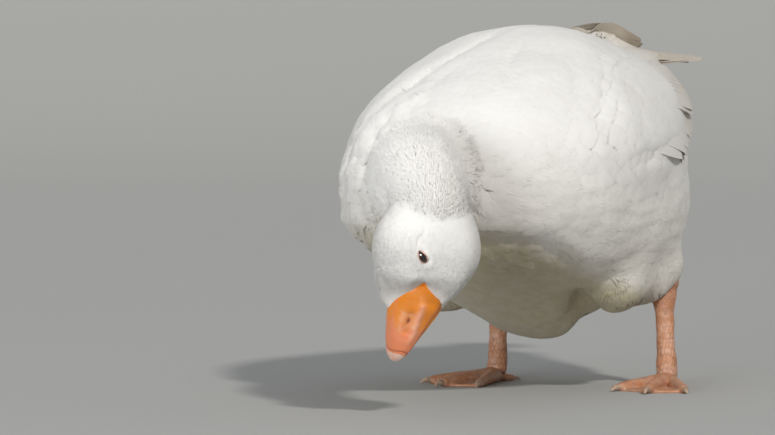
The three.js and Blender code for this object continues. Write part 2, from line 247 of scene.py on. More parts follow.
def normals_of(mesh):
    return values_of(mesh.vertex_normals, "vector", 3).astype(float)


def set_points(mesh, points):
    mesh.vertices.foreach_set("co", np.asarray(points, np.float32).ravel())
    mesh.update()


def surface_of(mesh):
    """A mesh's faces sorted for quick searches of the nearest place."""
    return BVHTree.FromPolygons([v.co for v in mesh.vertices], [p.vertices for p in mesh.polygons])


class Blur:
    """Averages values over the neighbours of each point of a mesh."""

    def __init__(self, mesh):
        self.edges = values_of(mesh.edges, "vertices", 2, np.int32)
        self.count = len(mesh.vertices)
        self.degree = np.bincount(self.edges.ravel(), minlength=self.count)

    def around(self, values):
        a, b = self.edges.T
        columns = values.reshape(self.count, -1)
        total = np.stack([
            np.bincount(a, columns[b, k], self.count) + np.bincount(b, columns[a, k], self.count)
            for k in range(columns.shape[1])
        ], 1)
        return (total / self.degree[:, None]).reshape(values.shape)

    def run(self, values, rounds, strength=0.5):
        weight = strength if np.ndim(strength) == 0 else strength.reshape(-1, *[1] * (values.ndim - 1))
        for _ in range(rounds):
            values = values + weight * (self.around(values) - values)
        return values


def apply_modifiers(obj):
    """Turns what the object's modifiers give into its own plain, smooth-shaded mesh."""
    graph = bpy.context.evaluated_depsgraph_get()
    mesh = bpy.data.meshes.new_from_object(
        obj.evaluated_get(graph), preserve_all_data_layers=True, depsgraph=graph
    )
    mesh.name = obj.name
    old = obj.data
    obj.modifiers.clear()
    obj.data = mesh
    bpy.data.meshes.remove(old)
    mesh.shade_smooth()
    return mesh


def remesh(obj, cell):
    """Replaces an object's mesh with one even closed surface."""
    even = obj.modifiers.new("even", "REMESH")
    even.mode = "VOXEL"
    even.voxel_size = cell
    return apply_modifiers(obj)


def refine(mesh, chosen):
    """Splits the edges between chosen points in two."""
    shell = bmesh.new()
    shell.from_mesh(mesh)
    edges = [e for e in shell.edges if chosen[e.verts[0].index] and chosen[e.verts[1].index]]
    bmesh.ops.subdivide_edges(shell, edges=edges, cuts=1, use_grid_fill=True)
    shell.to_mesh(mesh)
    shell.free()
    mesh.shade_smooth()


def node_shell(node, grow):
    """Merged points and triangles of a frame node, grown outwards by a length."""
    shell = bmesh.new()
    shell.from_mesh(frame["nodes"][node].data)
    bmesh.ops.remove_doubles(shell, verts=shell.verts, dist=1e-6)
    shell.normal_update()
    points = np.array([v.co + v.normal * grow for v in shell.verts])
    faces = np.array([[v.index for v in f.verts] for f in shell.faces])
    shell.free()
    return points, faces


def closed_grid(rows, columns):
    """Faces of a sphere-like grid: rows of `columns` points between two single poles."""
    faces = []
    last = 1 + rows * columns
    for c in range(columns):
        d = (c + 1) % columns
        faces.append((0, 1 + d, 1 + c))
        faces.append((last, 1 + (rows - 1) * columns + c, 1 + (rows - 1) * columns + d))
        for r in range(rows - 1):
            a, b = 1 + r * columns, 1 + (r + 1) * columns
            faces.append((a + c, a + d, b + d, b + c))
    return faces


def tube(points, radii, rows, columns, flatness=1.0, cap=2.2):
    """A closed limb along a smooth line: its points in rows, with a pole at each end."""
    share = np.concatenate([[0], (1 - np.cos(np.pi * (np.arange(rows) + 1) / (rows + 1))) / 2, [1]])
    centre = along(points, share)
    tangent = unit(np.gradient(centre, axis=0))
    side = np.array((1.0, 0, 0))
    across = unit(side - tangent * (tangent @ side)[:, None])
    over = np.cross(tangent, across)
    stations = list(zip(np.linspace(0, 1, len(radii)), radii))
    closing = np.minimum(1, np.sin(np.pi * np.arange(rows + 2) / (rows + 1)) * cap)
    radius = table(stations, share) * closing
    angle = 2 * np.pi * np.arange(columns) / columns
    ring = (
        across[:, None, :] * np.cos(angle)[None, :, None]
        + over[:, None, :] * (np.sin(angle) * flatness)[None, :, None]
    )
    body = centre[:, None, :] + ring * radius[:, None, None]
    flat = np.concatenate([centre[:1], body[1:-1].reshape(-1, 3), centre[-1:]])
    return flat, closed_grid(rows, columns), share, angle


def outward(obj):
    """Turns an object's faces to point out."""
    shell = bmesh.new()
    shell.from_mesh(obj.data)
    bmesh.ops.recalc_face_normals(shell, faces=shell.faces)
    shell.to_mesh(obj.data)
    shell.free()
    return obj


def finish_piece(obj, replaced=()):
    """Hangs a piece on the body, and hides the frame's nodes that it replaces."""
    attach(obj, "root")
    if replaced:
        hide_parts(*replaced)
    return obj


# ------------------ materials

class Nodes:
    """Short ways to add and join the nodes of `self.tree`."""

    def add(self, kind, inputs=None, **settings):
        node = self.tree.nodes.new(kind)
        for key, value in settings.items():
            setattr(node, key, value)
        for key, value in (inputs or {}).items():
            self.put(value, node.inputs[key])
        return node

    def put(self, value, socket):
        """Joins another node's socket to this one, or sets a plain value on it."""
        if isinstance(value, bpy.types.NodeSocket):
            self.tree.links.new(value, socket)
        elif value is not None:
            socket.default_value = value

    def math(self, operation, a, b=0.0):
        node = self.add("ShaderNodeMath", operation=operation)
        self.put(a, node.inputs[0])
        self.put(b, node.inputs[1])
        return node.outputs[0]

    def times(self, a, b):
        return self.math("MULTIPLY", a, b)

    def plus(self, a, b):
        return self.math("ADD", a, b)


class Paint(Nodes):
    """A material on the Principled shader."""

    def __init__(self, name, color, roughness, **sockets):
        self.material = bpy.data.materials.new(name)
        self.material.use_nodes = True
        self.tree = self.material.node_tree
        self.shader = self.tree.nodes["Principled BSDF"]
        self.shader.inputs["Base Color"].default_value = (*color, 1)
        self.shader.inputs["Roughness"].default_value = roughness
        for socket, value in sockets.items():
            self.shader.inputs[socket.replace("_", " ")].default_value = value
        self.place = self.add("ShaderNodeTexCoord").outputs["Object"]

    def noise(self, scale, detail=3.0, roughness=0.55, place=None):
        inputs = {"Vector": place or self.place, "Scale": scale, "Detail": detail, "Roughness": roughness}
        return self.add("ShaderNodeTexNoise", inputs).outputs["Fac"]

    def span(self, value, low, high, to_low=0.0, to_high=1.0):
        """A smooth change from one value to another as the input passes from low to high."""
        inputs = {"Value": value, "From Min": low, "From Max": high, "To Min": to_low, "To Max": to_high}
        node = self.add("ShaderNodeMapRange", inputs, interpolation_type="SMOOTHSTEP")
        return node.outputs["Result"]

    def mix(self, share, a, b):
        node = self.add("ShaderNodeMix", data_type="RGBA", blend_type="MIX")
        self.put(share, node.inputs["Factor"])
        for value, name in ((a, "A"), (b, "B")):
            socket = [s for s in node.inputs if s.name == name and s.type == "RGBA"][0]
            self.put(value if isinstance(value, bpy.types.NodeSocket) else (*value, 1), socket)
        return [s for s in node.outputs if s.type == "RGBA"][0]

    def value(self, name):
        return self.add("ShaderNodeAttribute", attribute_name=name).outputs["Fac"]

    def axes(self):
        return self.add("ShaderNodeSeparateXYZ", {"Vector": self.place}).outputs

    def color(self, value):
        self.put(value, self.shader.inputs["Base Color"])

    def bump(self, height, strength, distance):
        node = self.add("ShaderNodeBump", {"Height": height, "Strength": strength, "Distance": distance})
        self.put(node.outputs["Normal"], self.shader.inputs["Normal"])


# Places where the plumage changes colour, in metres along the bird (tail positive) and up from the floor.
HEAD_ENDS = (-0.29, -0.22)
TAIL_BEGINS = (0.17, 0.34)
TAIL_ABOVE = (0.2, 0.3)
SHADE_BELOW = (0.27, 0.15)
# The stain below, on the low plumage and on the belly, is partly real and partly painted shade.
DIRT_AND_SHADE_BELOW = (0.17, 0.07)
BELLY_BELOW = (0.131, 0.106)
BELLY_SLOPE = 0.28
DIRT_AND_SHADE_MOST = 0.6
BELLY_MOST = 0.95
BARB_RUN = 90.0  # how far the barbs' wave runs along a feather: turns on a long one, radians on a small one


def plumage_paint(name, settings, on_tufts=True, ribbed=0.0):
    """White plumage: creamy towards the tail, stained below, and slightly uneven all over, with painted shade
    on the tail, flanks and belly, and a head kept whiter as painted light.
    """
    paint = Paint(name, settings.white, settings.softness, Sheen_Weight=0.12, Sheen_Roughness=0.6)
    _x, y, z = paint.axes()
    patches = paint.noise(9.0, 4.0)
    off_head = paint.span(y, *HEAD_ENDS)
    blotches = paint.span(patches, 0.35, 0.75, 0.0, 0.35)
    # Painted light: the blotches fade on the head, so it stays whiter than the body.
    uneven = paint.times(blotches, paint.span(y, *HEAD_ENDS, 0.25, 1.0))
    color = paint.mix(uneven, settings.white, settings.shade)
    # Partly the tail's own tint and partly painted shade: the tail and rump darken to a deep creamy tone.
    tail = paint.times(paint.span(y, *TAIL_BEGINS), paint.span(z, *TAIL_ABOVE))
    color = paint.mix(paint.times(tail, 0.9), color, settings.cream)
    # Partly a real stain and partly painted shade: the low plumage and thighs and, under the flank's fringe,
    # the belly darken to a brownish tint.
    low = paint.times(paint.span(z, *DIRT_AND_SHADE_BELOW), off_head)
    dirt_and_shade = paint.times(low, paint.span(patches, 0.3, 0.7, 0.2, DIRT_AND_SHADE_MOST))
    under = paint.plus(z, paint.times(y, BELLY_SLOPE))
    under = paint.plus(under, paint.times(paint.noise(30.0), 0.014))
    belly = paint.times(paint.span(under, *BELLY_BELOW, 0.0, BELLY_MOST), off_head)
    # Painted shade: the plumage darkens towards the bottom of the body.
    shaded = paint.times(paint.span(z, *SHADE_BELOW, 0.0, 0.95), off_head)
    color = paint.mix(shaded, color, settings.shade)
    color = paint.mix(paint.math("MAXIMUM", dirt_and_shade, belly), color, settings.dingy)
    if on_tufts:
        color = paint.mix(paint.span(paint.value("tuft_shade"), 0.0, 1.0, 0.0, 0.14), color, settings.shade)
    if ribbed:
        side = paint.math("ABSOLUTE", paint.value("across"))
        run = paint.times(paint.value("along"), BARB_RUN)
        barbs = paint.math("SINE", paint.math("SUBTRACT", run, paint.times(side, 30.0)))
        color = paint.mix(paint.span(barbs, -1.0, 1.0, ribbed, 0.0), color, settings.shade)
        paint.bump(barbs, ribbed, 0.0003)
    paint.color(color)
    return paint.material


def quill_paint(name, settings):
    """Long stiff feathers: creamy white, creamier and darker towards the tail as painted shade, with a pale
    shaft and fine slanting barbs.
    """
    paint = Paint(name, settings.white, 0.7, Sheen_Weight=0.1)
    across, lengthwise = paint.value("across"), paint.value("along")
    y = paint.axes()["Y"]
    side = paint.math("ABSOLUTE", across)
    run = paint.times(lengthwise, BARB_RUN)
    slant = paint.math("SUBTRACT", run, paint.times(side, 14.0))
    barbs = paint.math("SINE", paint.times(slant, 6.283))
    # Creamier and darker towards the tail: partly tint, partly painted shade.
    cream = paint.mix(paint.span(y, 0.05, 0.33, 0.1, 1.0), settings.white, settings.cream)
    color = paint.mix(paint.span(barbs, -1.0, 1.0, 0.0, 0.10), cream, settings.shade)
    color = paint.mix(paint.span(side, 0.10, 0.04, 0.0, 0.5), color, settings.cream)
    color = paint.mix(paint.span(lengthwise, 0.75, 1.0, 0.0, 0.18), color, settings.shade)
    paint.color(color)
    paint.bump(barbs, 0.25, 0.0003)
    return paint.material


def bill_paint(name, settings):
    """Bill horn: orange at the base, salmon along the sides, ridge and tip, with painted shade in the
    nostril, the nasal hollow, the groove behind the nail and under the mouth's line, and pale streaks that
    are partly painted highlight along the ridge.
    """
    paint = Paint(name, settings.bill_orange, 0.45, Coat_Weight=0.12, Coat_Roughness=0.35,
                  Subsurface_Weight=0.12, Subsurface_Scale=0.003)
    mottle = paint.noise(130.0, 4.0)
    salmon = paint.value("salmon")
    share = paint.span(paint.plus(salmon, paint.times(mottle, 0.5)), 0.35, 1.05)
    color = paint.mix(share, settings.bill_orange, settings.bill_salmon)
    # Pale streaks: partly wear and pale horn, partly painted highlight along the ridge.
    mottled = paint.times(paint.value("pale"), paint.span(paint.noise(160.0), 0.3, 0.6, 0.2, 0.9))
    mottled = paint.math("MAXIMUM", mottled, paint.span(paint.noise(300.0), 0.55, 0.8, 0.0, 0.25))
    color = paint.mix(mottled, color, settings.bill_pale)
    # Painted shade in the nostrils, the nasal hollows, the nail groove and along the mouth's line.
    color = paint.mix(paint.value("dark"), color, settings.bill_dark)
    paint.color(color)
    paint.bump(paint.noise(420.0, 5.0), 0.22, 0.0006)
    return paint.material


def nail_paint(name, settings):
    """The hard bill tip: pale horn with a little of the bill's salmon."""
    paint = Paint(name, settings.nail, 0.36, Coat_Weight=0.3, Coat_Roughness=0.3,
                  Subsurface_Weight=0.1, Subsurface_Scale=0.002)
    streaks = paint.noise(220.0, 4.0)
    color = paint.mix(paint.span(streaks, 0.4, 0.7, 0.0, 0.5), settings.nail, settings.bill_salmon)
    # Painted shade at the nail's rear edge.
    paint.color(paint.mix(paint.value("dark"), color, settings.bill_dark))
    paint.bump(streaks, 0.2, 0.0005)
    return paint.material


def leg_paint(name, settings):
    """Scaled leg skin: pinkish orange, paler scale tops, darker creases, and darker towards the floor."""
    paint = Paint(name, settings.leg, 0.5, Coat_Weight=0.08, Coat_Roughness=0.5,
                  Subsurface_Weight=0.08, Subsurface_Scale=0.002)
    patches = paint.noise(60.0, 5.0)
    color = paint.mix(paint.span(patches, 0.4, 0.66), settings.leg, settings.leg_pale)
    mottled = paint.span(paint.noise(45.0, 4.0), 0.35, 0.65, 0.35, 1.0)
    crease = paint.times(paint.span(paint.value("scale_top"), 0.0, 0.8, 0.6, 0.0), mottled)
    color = paint.mix(paint.span(paint.noise(140.0, 4.0), 0.5, 0.75, 0.0, 0.55), color, settings.leg_dark)
    color = paint.mix(crease, color, settings.leg_dark)
    # Darker towards the floor, in patches.
    lower_darkening = paint.times(paint.span(paint.axes()[2], 0.05, 0.0), paint.span(patches, 0.45, 0.7))
    color = paint.mix(paint.times(lower_darkening, 0.5), color, settings.leg_dark)
    paint.color(color)
    paint.bump(paint.noise(700.0, 4.0), 0.15, 0.0004)
    return paint.material


def claw_paint(name, settings):
    paint = Paint(name, settings.claw, 0.4, Coat_Weight=0.2)
    grain = paint.noise(260.0, 4.0)
    paint.color(paint.mix(paint.span(grain, 0.35, 0.7, 0.0, 0.6), settings.claw, settings.leg_dark))
    paint.bump(grain, 0.15, 0.0004)
    return paint.material


def eye_paint(name, settings):
    """A wet, dark brown eye: black pupil, brown iris with fine rays, and a darker rim."""
    paint = Paint(name, settings.iris, 0.12, Coat_Weight=1.0, Coat_Roughness=0.02)
    radius = paint.value("from_pupil")
    rays = paint.noise(900.0, 2.0)
    iris = paint.mix(paint.span(rays, 0.35, 0.65), settings.iris, settings.iris_dark)
    rim = paint.mix(paint.span(radius, 0.0044, 0.0056), iris, settings.iris_dark)
    paint.color(paint.mix(paint.span(radius, 0.0019, 0.0023), settings.pupil, rim))
    return paint.material


def lid_paint(name, settings):
    paint = Paint(name, settings.lid, 0.5, Coat_Weight=0.15, Subsurface_Weight=0.15, Subsurface_Scale=0.001)
    grain = paint.noise(900.0, 3.0)
    paint.color(paint.mix(paint.span(grain, 0.35, 0.7, 0.0, 0.7), settings.lid, settings.lid_pale))
    paint.bump(grain, 0.25, 0.0003)
    return paint.material


def stage_paint(name, color):
    paint = Paint(name, color, 0.9)
    darker = [c * 0.97 for c in color]
    paint.color(paint.mix(paint.span(paint.noise(0.8), 0.3, 0.7, 0.0, 0.25), color, darker))
    return paint.material


# ------------------ skin

def skin_regions(points, bvh, owner, blur):
    """How much each point belongs to each region, with soft borders."""
    nearest = np.array([owner[bvh.find_nearest(Vector(p))[2]] for p in points])
    shares = np.stack([(nearest == i).astype(float) for i in range(len(REGIONS))], 1)
    shares = blur.run(shares, 14)
    return shares / shares.sum(1, keepdims=True)


def bill_reach(back, degrees, side):
    """Half thickness of the finished bill, at places back from its tip and round it from its ridge."""
    shells = []
    for name in ("bill_top", "bill_bottom"):
        mesh = bpy.data.objects[name].data
        points = to_head(points_of(mesh))
        shells.append(BVHTree.FromPolygons([Vector(p) for p in points], [p.vertices for p in mesh.polygons]))
    angle = np.radians(degrees)
    ways = np.stack([0 * angle, np.sin(angle) * side, np.cos(angle)], 1)
    far = 80 * MM
    reach = np.zeros(len(back))
    for i, way in enumerate(ways):
        start = Vector((back[i], 0, BILL_AXIS_HEIGHT)) + Vector(way) * far
        for shell in shells:
            place, _normal, _face, gap = shell.ray_cast(start, -Vector(way), far)
            if place is not None:
                reach[i] = max(reach[i], far - gap)
    return reach


def feather_edge(head_points, degrees):
    """How far back from the tip the feathers begin; they lie further forward on the right of the ridge."""
    right = ramp(1 * MM, -1 * MM, head_points[:, 1])
    return (table(FEATHER_EDGE, degrees) * (1 - right) + table(RIGHT_FEATHER_EDGE, degrees) * right) * MM


def round_bill(head_points):
    """Each point's distance from the bill's own line, and degrees round it from the ridge."""
    y, z = head_points[:, 1], head_points[:, 2] - BILL_AXIS_HEIGHT
    return np.hypot(y, z), np.degrees(np.arctan2(np.abs(y), z))


def eye_frame(side):
    """Centre of an eye and its outward, lengthwise and crosswise directions, in head axes."""
    mirror = np.array((1, side, 1))
    facing = unit(EYE_FACING * mirror)
    long_way = EYE_LONG_WAY * mirror
    long_way = unit(long_way - facing * (long_way @ facing))
    return EYE_PLACE * mirror, facing, long_way, np.cross(facing, long_way)


def from_eye(head_points, side):
    """Distance out from the eye's centre, and how many lid openings away from its middle."""
    centre, facing, long_way, cross_way = eye_frame(side)
    d = head_points - centre
    return d @ facing, np.hypot((d @ long_way) / EYE_OPENING[0], (d @ cross_way) / EYE_OPENING[1])


def lid_openings(head_points):
    """How many lid openings each point lies from the middle of the nearer eye, and far off behind it."""
    nearest = []
    for side in SIDES.values():
        out, near = from_eye(head_points, side)
        nearest.append(np.where(out > 0, near, 99))
    return np.minimum(*nearest)


# Folds pressed into the skin: points in millimetres, depth and half width in millimetres.
BODY_FOLDS = [
    ([(-22, 20, 345), (-27, -10, 341), (-49, -80, 311), (-70, -118, 284), (-89, -146, 254)], 4.0, 7),
    ([(16, -20, 336), (22, -66, 316), (44, -104, 292)], 2.4, 6),
    ([(84, 20, 318), (105, -28, 289), (113, -64, 266)], 2.8, 6),
    ([(43, -170, 141), (82, -136, 146), (93, -100, 136), (97, -49, 119), (98, 4, 108)], 4.0, 7),
    ([(66, -16, 100), (62, 6, 93), (56, 24, 86), (49, 40, 78)], 7.0, 9),
    ([(127, -20, 223), (136, 10, 226), (135, 51, 229), (122, 110, 236), (100, 170, 243), (74, 236, 259)],
     6.0, 7),
    ([(-151, -20, 223), (-160, 10, 226), (-159, 51, 229), (-146, 110, 236), (-122, 180, 250)], 6.0, 7),
]
HEAD_FOLDS = [
    ([(136, 21, 53), (130, 25, 56), (125.5, 27.5, 56), (121.5, 28.5, 54)], 1.4, 1.4),
    ([(113, 30, 41), (106, 30, 35), (99, 28, 29), (93, 24, 24)], 0.5, 2.6),
]

# Swellings: a middle, a radius and a push, all in millimetres.
BODY_SWELLS = [
    ((0, 35, 60), 52, (0, 0, -9)), ((50, 36, 80), 17, (-2, 0, 16)), ((-74, 30, 80), 17, (2, 0, 16)),
    ((90, 84, 92), 18, (0, 0, 9)), ((-92, 76, 92), 18, (0, 0, 9)),
    ((88, 45, 97), 25, (10, -8, -4)), ((-112, 45, 97), 25, (-10, -8, -4)),
]
HEAD_SWELLS = [
    ((51, -5, 34), 14, (-5.0, -4.4, 9.5)), ((67, -6, 47), 14, (-1.5, -1.3, 3.0)),
    ((79, 13, 39), 14, (0.5, 3.5, 5.2)), ((87, 20, 39), 11, (1.0, 3.2, 4.2)),
    ((92, 15, -16), 21, (-4, -3, 9)), ((92, -15, -16), 21, (-4, 3, 9)),
]


def press_folds(points, outward_way, folds, sides=(1,)):
    """Presses folds into a surface, along the places on it that lie nearest to their lines."""
    for line, depth, width in folds:
        for side in sides:
            path = drawn_line(line, side)
            path = np.array([points[np.argmin(((points - p) ** 2).sum(1))] for p in path])
            path[1:-1] = (path[:-2] + path[1:-1] + path[2:]) / 3
            d, place = distance_to_line(points, path)
            fade = np.sin(np.pi * np.clip(place, 0.04, 0.96)) ** 0.5
            points = points - outward_way * (depth * MM * fade * np.exp(-((d / (width * MM)) ** 2)))[:, None]
    return points


def swollen(points, swells):
    """Points pushed out round the middle of each swelling."""
    for middle, radius, push in swells:
        near = np.exp(-(((points - np.array(middle) * MM) ** 2).sum(1) / (radius * MM) ** 2))
        points = points + near[:, None] * np.array(push) * MM
    return points


def ripple(points, wavelength, seed):
    """Smooth random values about zero, with humps of about the given length."""
    shift = Vector((seed * 7.3, seed * 3.1, seed * 5.7))
    return np.array([noise.noise(Vector(p) / wavelength + shift) for p in points])


def lie_of_coat(points, normals, shares, blur):
    """The way that the feathers point at each place, along the skin."""
    region = dict(zip(REGIONS, shares.T[:, :, None]))
    side = np.sign(points[:, :1] - MIDDLE_X)
    breast = unit(points - np.array((-13.8, -150, 204)) * MM)
    front = ramp(-0.02, -0.17, points[:, 1])[:, None]
    trunk = unit(np.array((0, 1, -0.10)) * (1 - front) + breast * front)
    neck_line = drawn_line(NECK_PATH, steps=60)
    _, place = distance_to_line(points, neck_line)
    towards_body = -unit(np.gradient(neck_line, axis=0))
    neck = towards_body[np.clip((place * 59).round().astype(int), 0, 59)]
    thigh = unit(np.concatenate([side * 0.15, 0.45 + 0 * side, -0.9 + 0 * side], 1))
    wing = unit(np.concatenate([side * -0.18, 1 + 0 * side, 0.10 + 0 * side], 1))
    way = (
        region["trunk"] * trunk + region["neck"] * neck + region["head"] * BACK
        + region["thigh"] * thigh + region["wing"] * wing + region["rump"] * np.array((0, 1, 0.02))
    )
    for _ in range(3):
        way = unit(way - normals * (way * normals).sum(1, keepdims=True))
        way = blur.run(way, 8)
    return unit(way - normals * (way * normals).sum(1, keepdims=True))


def flesh_parts():
    """The shells that the skin is made from, each with the region that it belongs to."""
    parts = [(node_shell(node, 0.5 * MM), node.split("_")[0]) for node in FLESH]
    tail_root = tube(np.array(TAIL_ROOT_PATH) * MM, np.array(TAIL_ROOT_RADII) * MM, 14, 20, 0.34)[:2]
    parts.append((tail_root, "rump"))
    for path in THIGH_ENDS.values():
        thigh_end = tube(np.array(path) * MM, np.array(THIGH_END_RADII) * MM, 12, 18)[:2]
        parts.append((thigh_end, "thigh"))
    parts += [(node_shell("eye_" + place, 0.3 * MM), "head") for place in SIDES]
    parts += [(node_shell(node, 0.5 * MM), "head") for node in ("bill_upper", "bill_lower", "bill_nail")]
    return parts


def fused_flesh(settings):
    """The flesh fused into one smooth surface, with finer faces on the face, and its regions."""
    parts = flesh_parts()
    points, faces = joined(shell for shell, _region in parts)
    owner = [REGIONS.index(region) for (_points, shell_faces), region in parts for _face in shell_faces]
    bvh = BVHTree.FromPolygons([Vector(p) for p in points], faces)
    skin = outward(mesh_object("goose_skin", points, faces))
    mesh = remesh(skin, settings.skin_cell)
    blur = Blur(mesh)
    points = points_of(mesh)
    shares = skin_regions(points, bvh, owner, blur)
    set_points(mesh, blur.run(points, 130, shares @ np.array(REGION_SMOOTHING)))
    head_points = to_head(points_of(mesh))
    refine(mesh, (round_bill(head_points)[0] < 70 * MM) & (head_points[:, 0] < 165 * MM))
    head_points = to_head(points_of(mesh))
    by_eye = [np.linalg.norm(head_points - eye_frame(side)[0], axis=1) < 17 * MM for side in SIDES.values()]
    refine(mesh, by_eye[0] | by_eye[1])
    blur = Blur(mesh)
    points = blur.run(points_of(mesh), 6, 0.4)
    set_points(mesh, points)
    return skin, points, skin_regions(points, bvh, owner, blur), blur


def trunk_and_rump(shares):
    return shares[:, REGIONS.index("trunk")] + shares[:, REGIONS.index("rump")]


def coat_depth(points, shares, face, blur):
    """Depth of the coat at each place, and how far the place belongs to the belly."""
    depth = blur.run(shares, 60) @ np.array(REGION_COAT_DEPTH) * MM
    depth = depth * (0.42 + 0.58 * face)
    belly = trunk_and_rump(shares) * ramp(0.119, 0.109, points[:, 2] + BELLY_SLOPE * points[:, 1])
    return depth * (1 - 0.4 * belly), belly


def shaped_body(points, normals, shares, depth, belly):
    """Sinks the skin by the coat's depth, then gives it the body's swellings, folds and lumps."""
    body = trunk_and_rump(shares)
    points = points - normals * (depth - 0.6 * MM + belly * 4.5 * MM)[:, None]
    points = swollen(points, BODY_SWELLS)
    back_from_middle = np.maximum(points[:, 1] + 20 * MM, 0)
    paunch = np.hypot((points[:, 0] - MIDDLE_X) / (62 * MM), back_from_middle / (108 * MM))
    points[:, 2] += 12 * MM * body * ramp(0.88, 1.16, paunch) * ramp(0.106, 0.082, points[:, 2])
    points = press_folds(points, normals, BODY_FOLDS)
    flank = body * ramp(0.10, 0.13, points[:, 2]) * ramp(0.26, 0.22, points[:, 2])
    breast = body * ramp(-0.06, -0.14, points[:, 1]) * ramp(0.0, -0.06, points[:, 0])
    lumps = ripple(points, 0.050, 1) * 2.2 + ripple(points, 0.022, 2) * 0.8
    streaks = ripple(points * (1, 0.22, 1), 0.0095, 11) * 1.5 * flank
    lumps = lumps + streaks + ripple(points, 0.013, 12) * 4.8 * breast
    lumps = lumps + ripple(points, 0.011, 13) * 1.3 * shares[:, REGIONS.index("neck")]
    return points + normals * (lumps * (shares @ np.array(REGION_LUMPS)) * MM)[:, None]


def seat_on_bill(head_points, on_head, blur):
    """Draws the skin in to the bill at the feathers' edge, and down inside the bill past that."""
    reach, degrees = round_bill(head_points)
    edge = feather_edge(head_points, degrees)
    past_edge = head_points[:, 0] - edge
    near = np.flatnonzero(on_head & (past_edge < 30 * MM))
    at_edge = np.minimum(head_points[near, 0], edge[near])
    bare = bill_reach(at_edge, degrees[near], np.sign(head_points[near, 1]))
    over = past_edge[near]
    ruffled = ramp(9 * MM, -6 * MM, head_points[near, 1])
    peak = np.exp(-(((degrees[near] - 48) / 20) ** 2)) * (1 - ruffled)
    swell = 1 - (1 - np.clip(over / ((27 - 19 * ruffled - 13 * peak) * MM), 0, 1)) ** 2
    proud = 0.4 * MM * ramp(-1.0 * MM, 0.3 * MM, over) - 2.2 * MM * ramp(0.2 * MM, -1.6 * MM, over)
    seated = bare + proud + (reach[near] - bare) * swell
    scale = np.ones(len(head_points))
    scale[near] = np.minimum(seated / np.maximum(reach[near], 1e-6), 1.25)
    head_points[:, 1] *= scale
    head_points[:, 2] = BILL_AXIS_HEIGHT + (head_points[:, 2] - BILL_AXIS_HEIGHT) * scale
    by_edge = (np.abs(past_edge) < 7 * MM) & on_head & (head_points[:, 1] < 6 * MM)
    head_points = blur.run(head_points, 4, np.where(by_edge, 0.35, 0.0))
    front = on_head & (head_points[:, 0] < 20 * MM)
    head_points[:, 0] = np.where(front, 12 * MM + 0.4 * head_points[:, 0], head_points[:, 0])
    return head_points


def seat_on_eye(head_points, side):
    """Lays the skin over the ball of an eye, and sinks it behind the ball inside the opening."""
    centre, facing, _, _ = eye_frame(side)
    out, near = from_eye(head_points, side)
    lateral = np.linalg.norm(head_points - centre - facing * out[:, None], axis=1)
    ball = np.sqrt(np.maximum(EYE_BALL**2 - lateral**2, 0))
    pressed = out - 1.0 * MM * np.exp(-(((near - 1) / 0.6) ** 2))
    cover = np.maximum(pressed, ball + 0.35 * MM)
    lidded = cover + (out - cover) * ramp(1.5, 2.6, near)
    socket = 3.0 * MM
    rim = 0.14
    target = np.where(near < 1.0, ball - socket, lidded)
    slope = ball - socket + (lidded - ball + socket) * (near - 1.0) / rim
    target = np.where((near >= 1.0) & (near < 1.0 + rim), slope, target)
    close = (out > 0) & (near < 2.6)
    return head_points + facing * np.where(close, target - out, 0)[:, None]


def shaped_head(head_points, head_normals, on_head, blur):
    """Gives the head its folds and swellings, and seats it on the bill and round the eyes."""
    head_points = press_folds(head_points, head_normals, HEAD_FOLDS, SIDES.values())
    head_points = swollen(head_points, HEAD_SWELLS)
    head_points = seat_on_bill(head_points, on_head, blur)
    for side in SIDES.values():
        head_points = seat_on_eye(head_points, side)
    return head_points


def feathered_places(head_points, from_bill, openings):
    """1 where feathers grow, and 0 on the bill, on the lids and in the crease before each eye."""
    feathered = ramp(-1.2 * MM, -0.2 * MM, from_bill) * ramp(1.08, 1.16, openings)
    crease = np.minimum(*[
        distance_to_line(head_points, drawn_line(HEAD_FOLDS[0][0], side))[0] for side in SIDES.values()
    ])
    return feathered * ramp(0.5 * MM, 1.1 * MM, crease)


def sown_coats(points, head_points, shares, feathered, near_neck, near_head, wide_body, blur):
    """How thickly each coat grows at each point, by the coat's name."""
    region = dict(zip(REGIONS, shares.T))
    y, z = points[:, 1], points[:, 2]
    front = ramp(0.03, -0.01, y)
    left = ramp(-3 * MM, 3 * MM, points[:, 0] - MIDDLE_X)
    flank = ramp(0.245, 0.215, z) * ramp(0.095, 0.12, z) * ramp(-0.20, -0.15, y)
    return {
        "head_left": region["head"] * feathered * (head_points[:, 1] > 0),
        "head_right": region["head"] * feathered * (head_points[:, 1] <= 0),
        "neck": (region["neck"] + ramp(0.12, 0.55, near_neck)) * feathered,
        "front_left": wide_body * front * left,
        "front_right": wide_body * front * (1 - left),
        "rear_left": wide_body * (1 - front) * left,
        "rear_right": wide_body * (1 - front) * (1 - left),
        "flank": trunk_and_rump(shares) * flank * ramp(0.22, 0.16, y) * (1 - near_neck),
        "nape": region["neck"] * (1 - 0.9 * near_head),
        "thigh": region["thigh"],
        "wing": np.clip(blur.run(region["wing"], 25) * 3, 0, 1),
    }


# How much larger or smaller than usual the tufts of a wing are, from its front to its rear in metres.
WING_TUFT_GROWTH = [(-0.12, -0.35), (0.0, -0.1), (0.12, 0.25), (0.28, 0.6)]


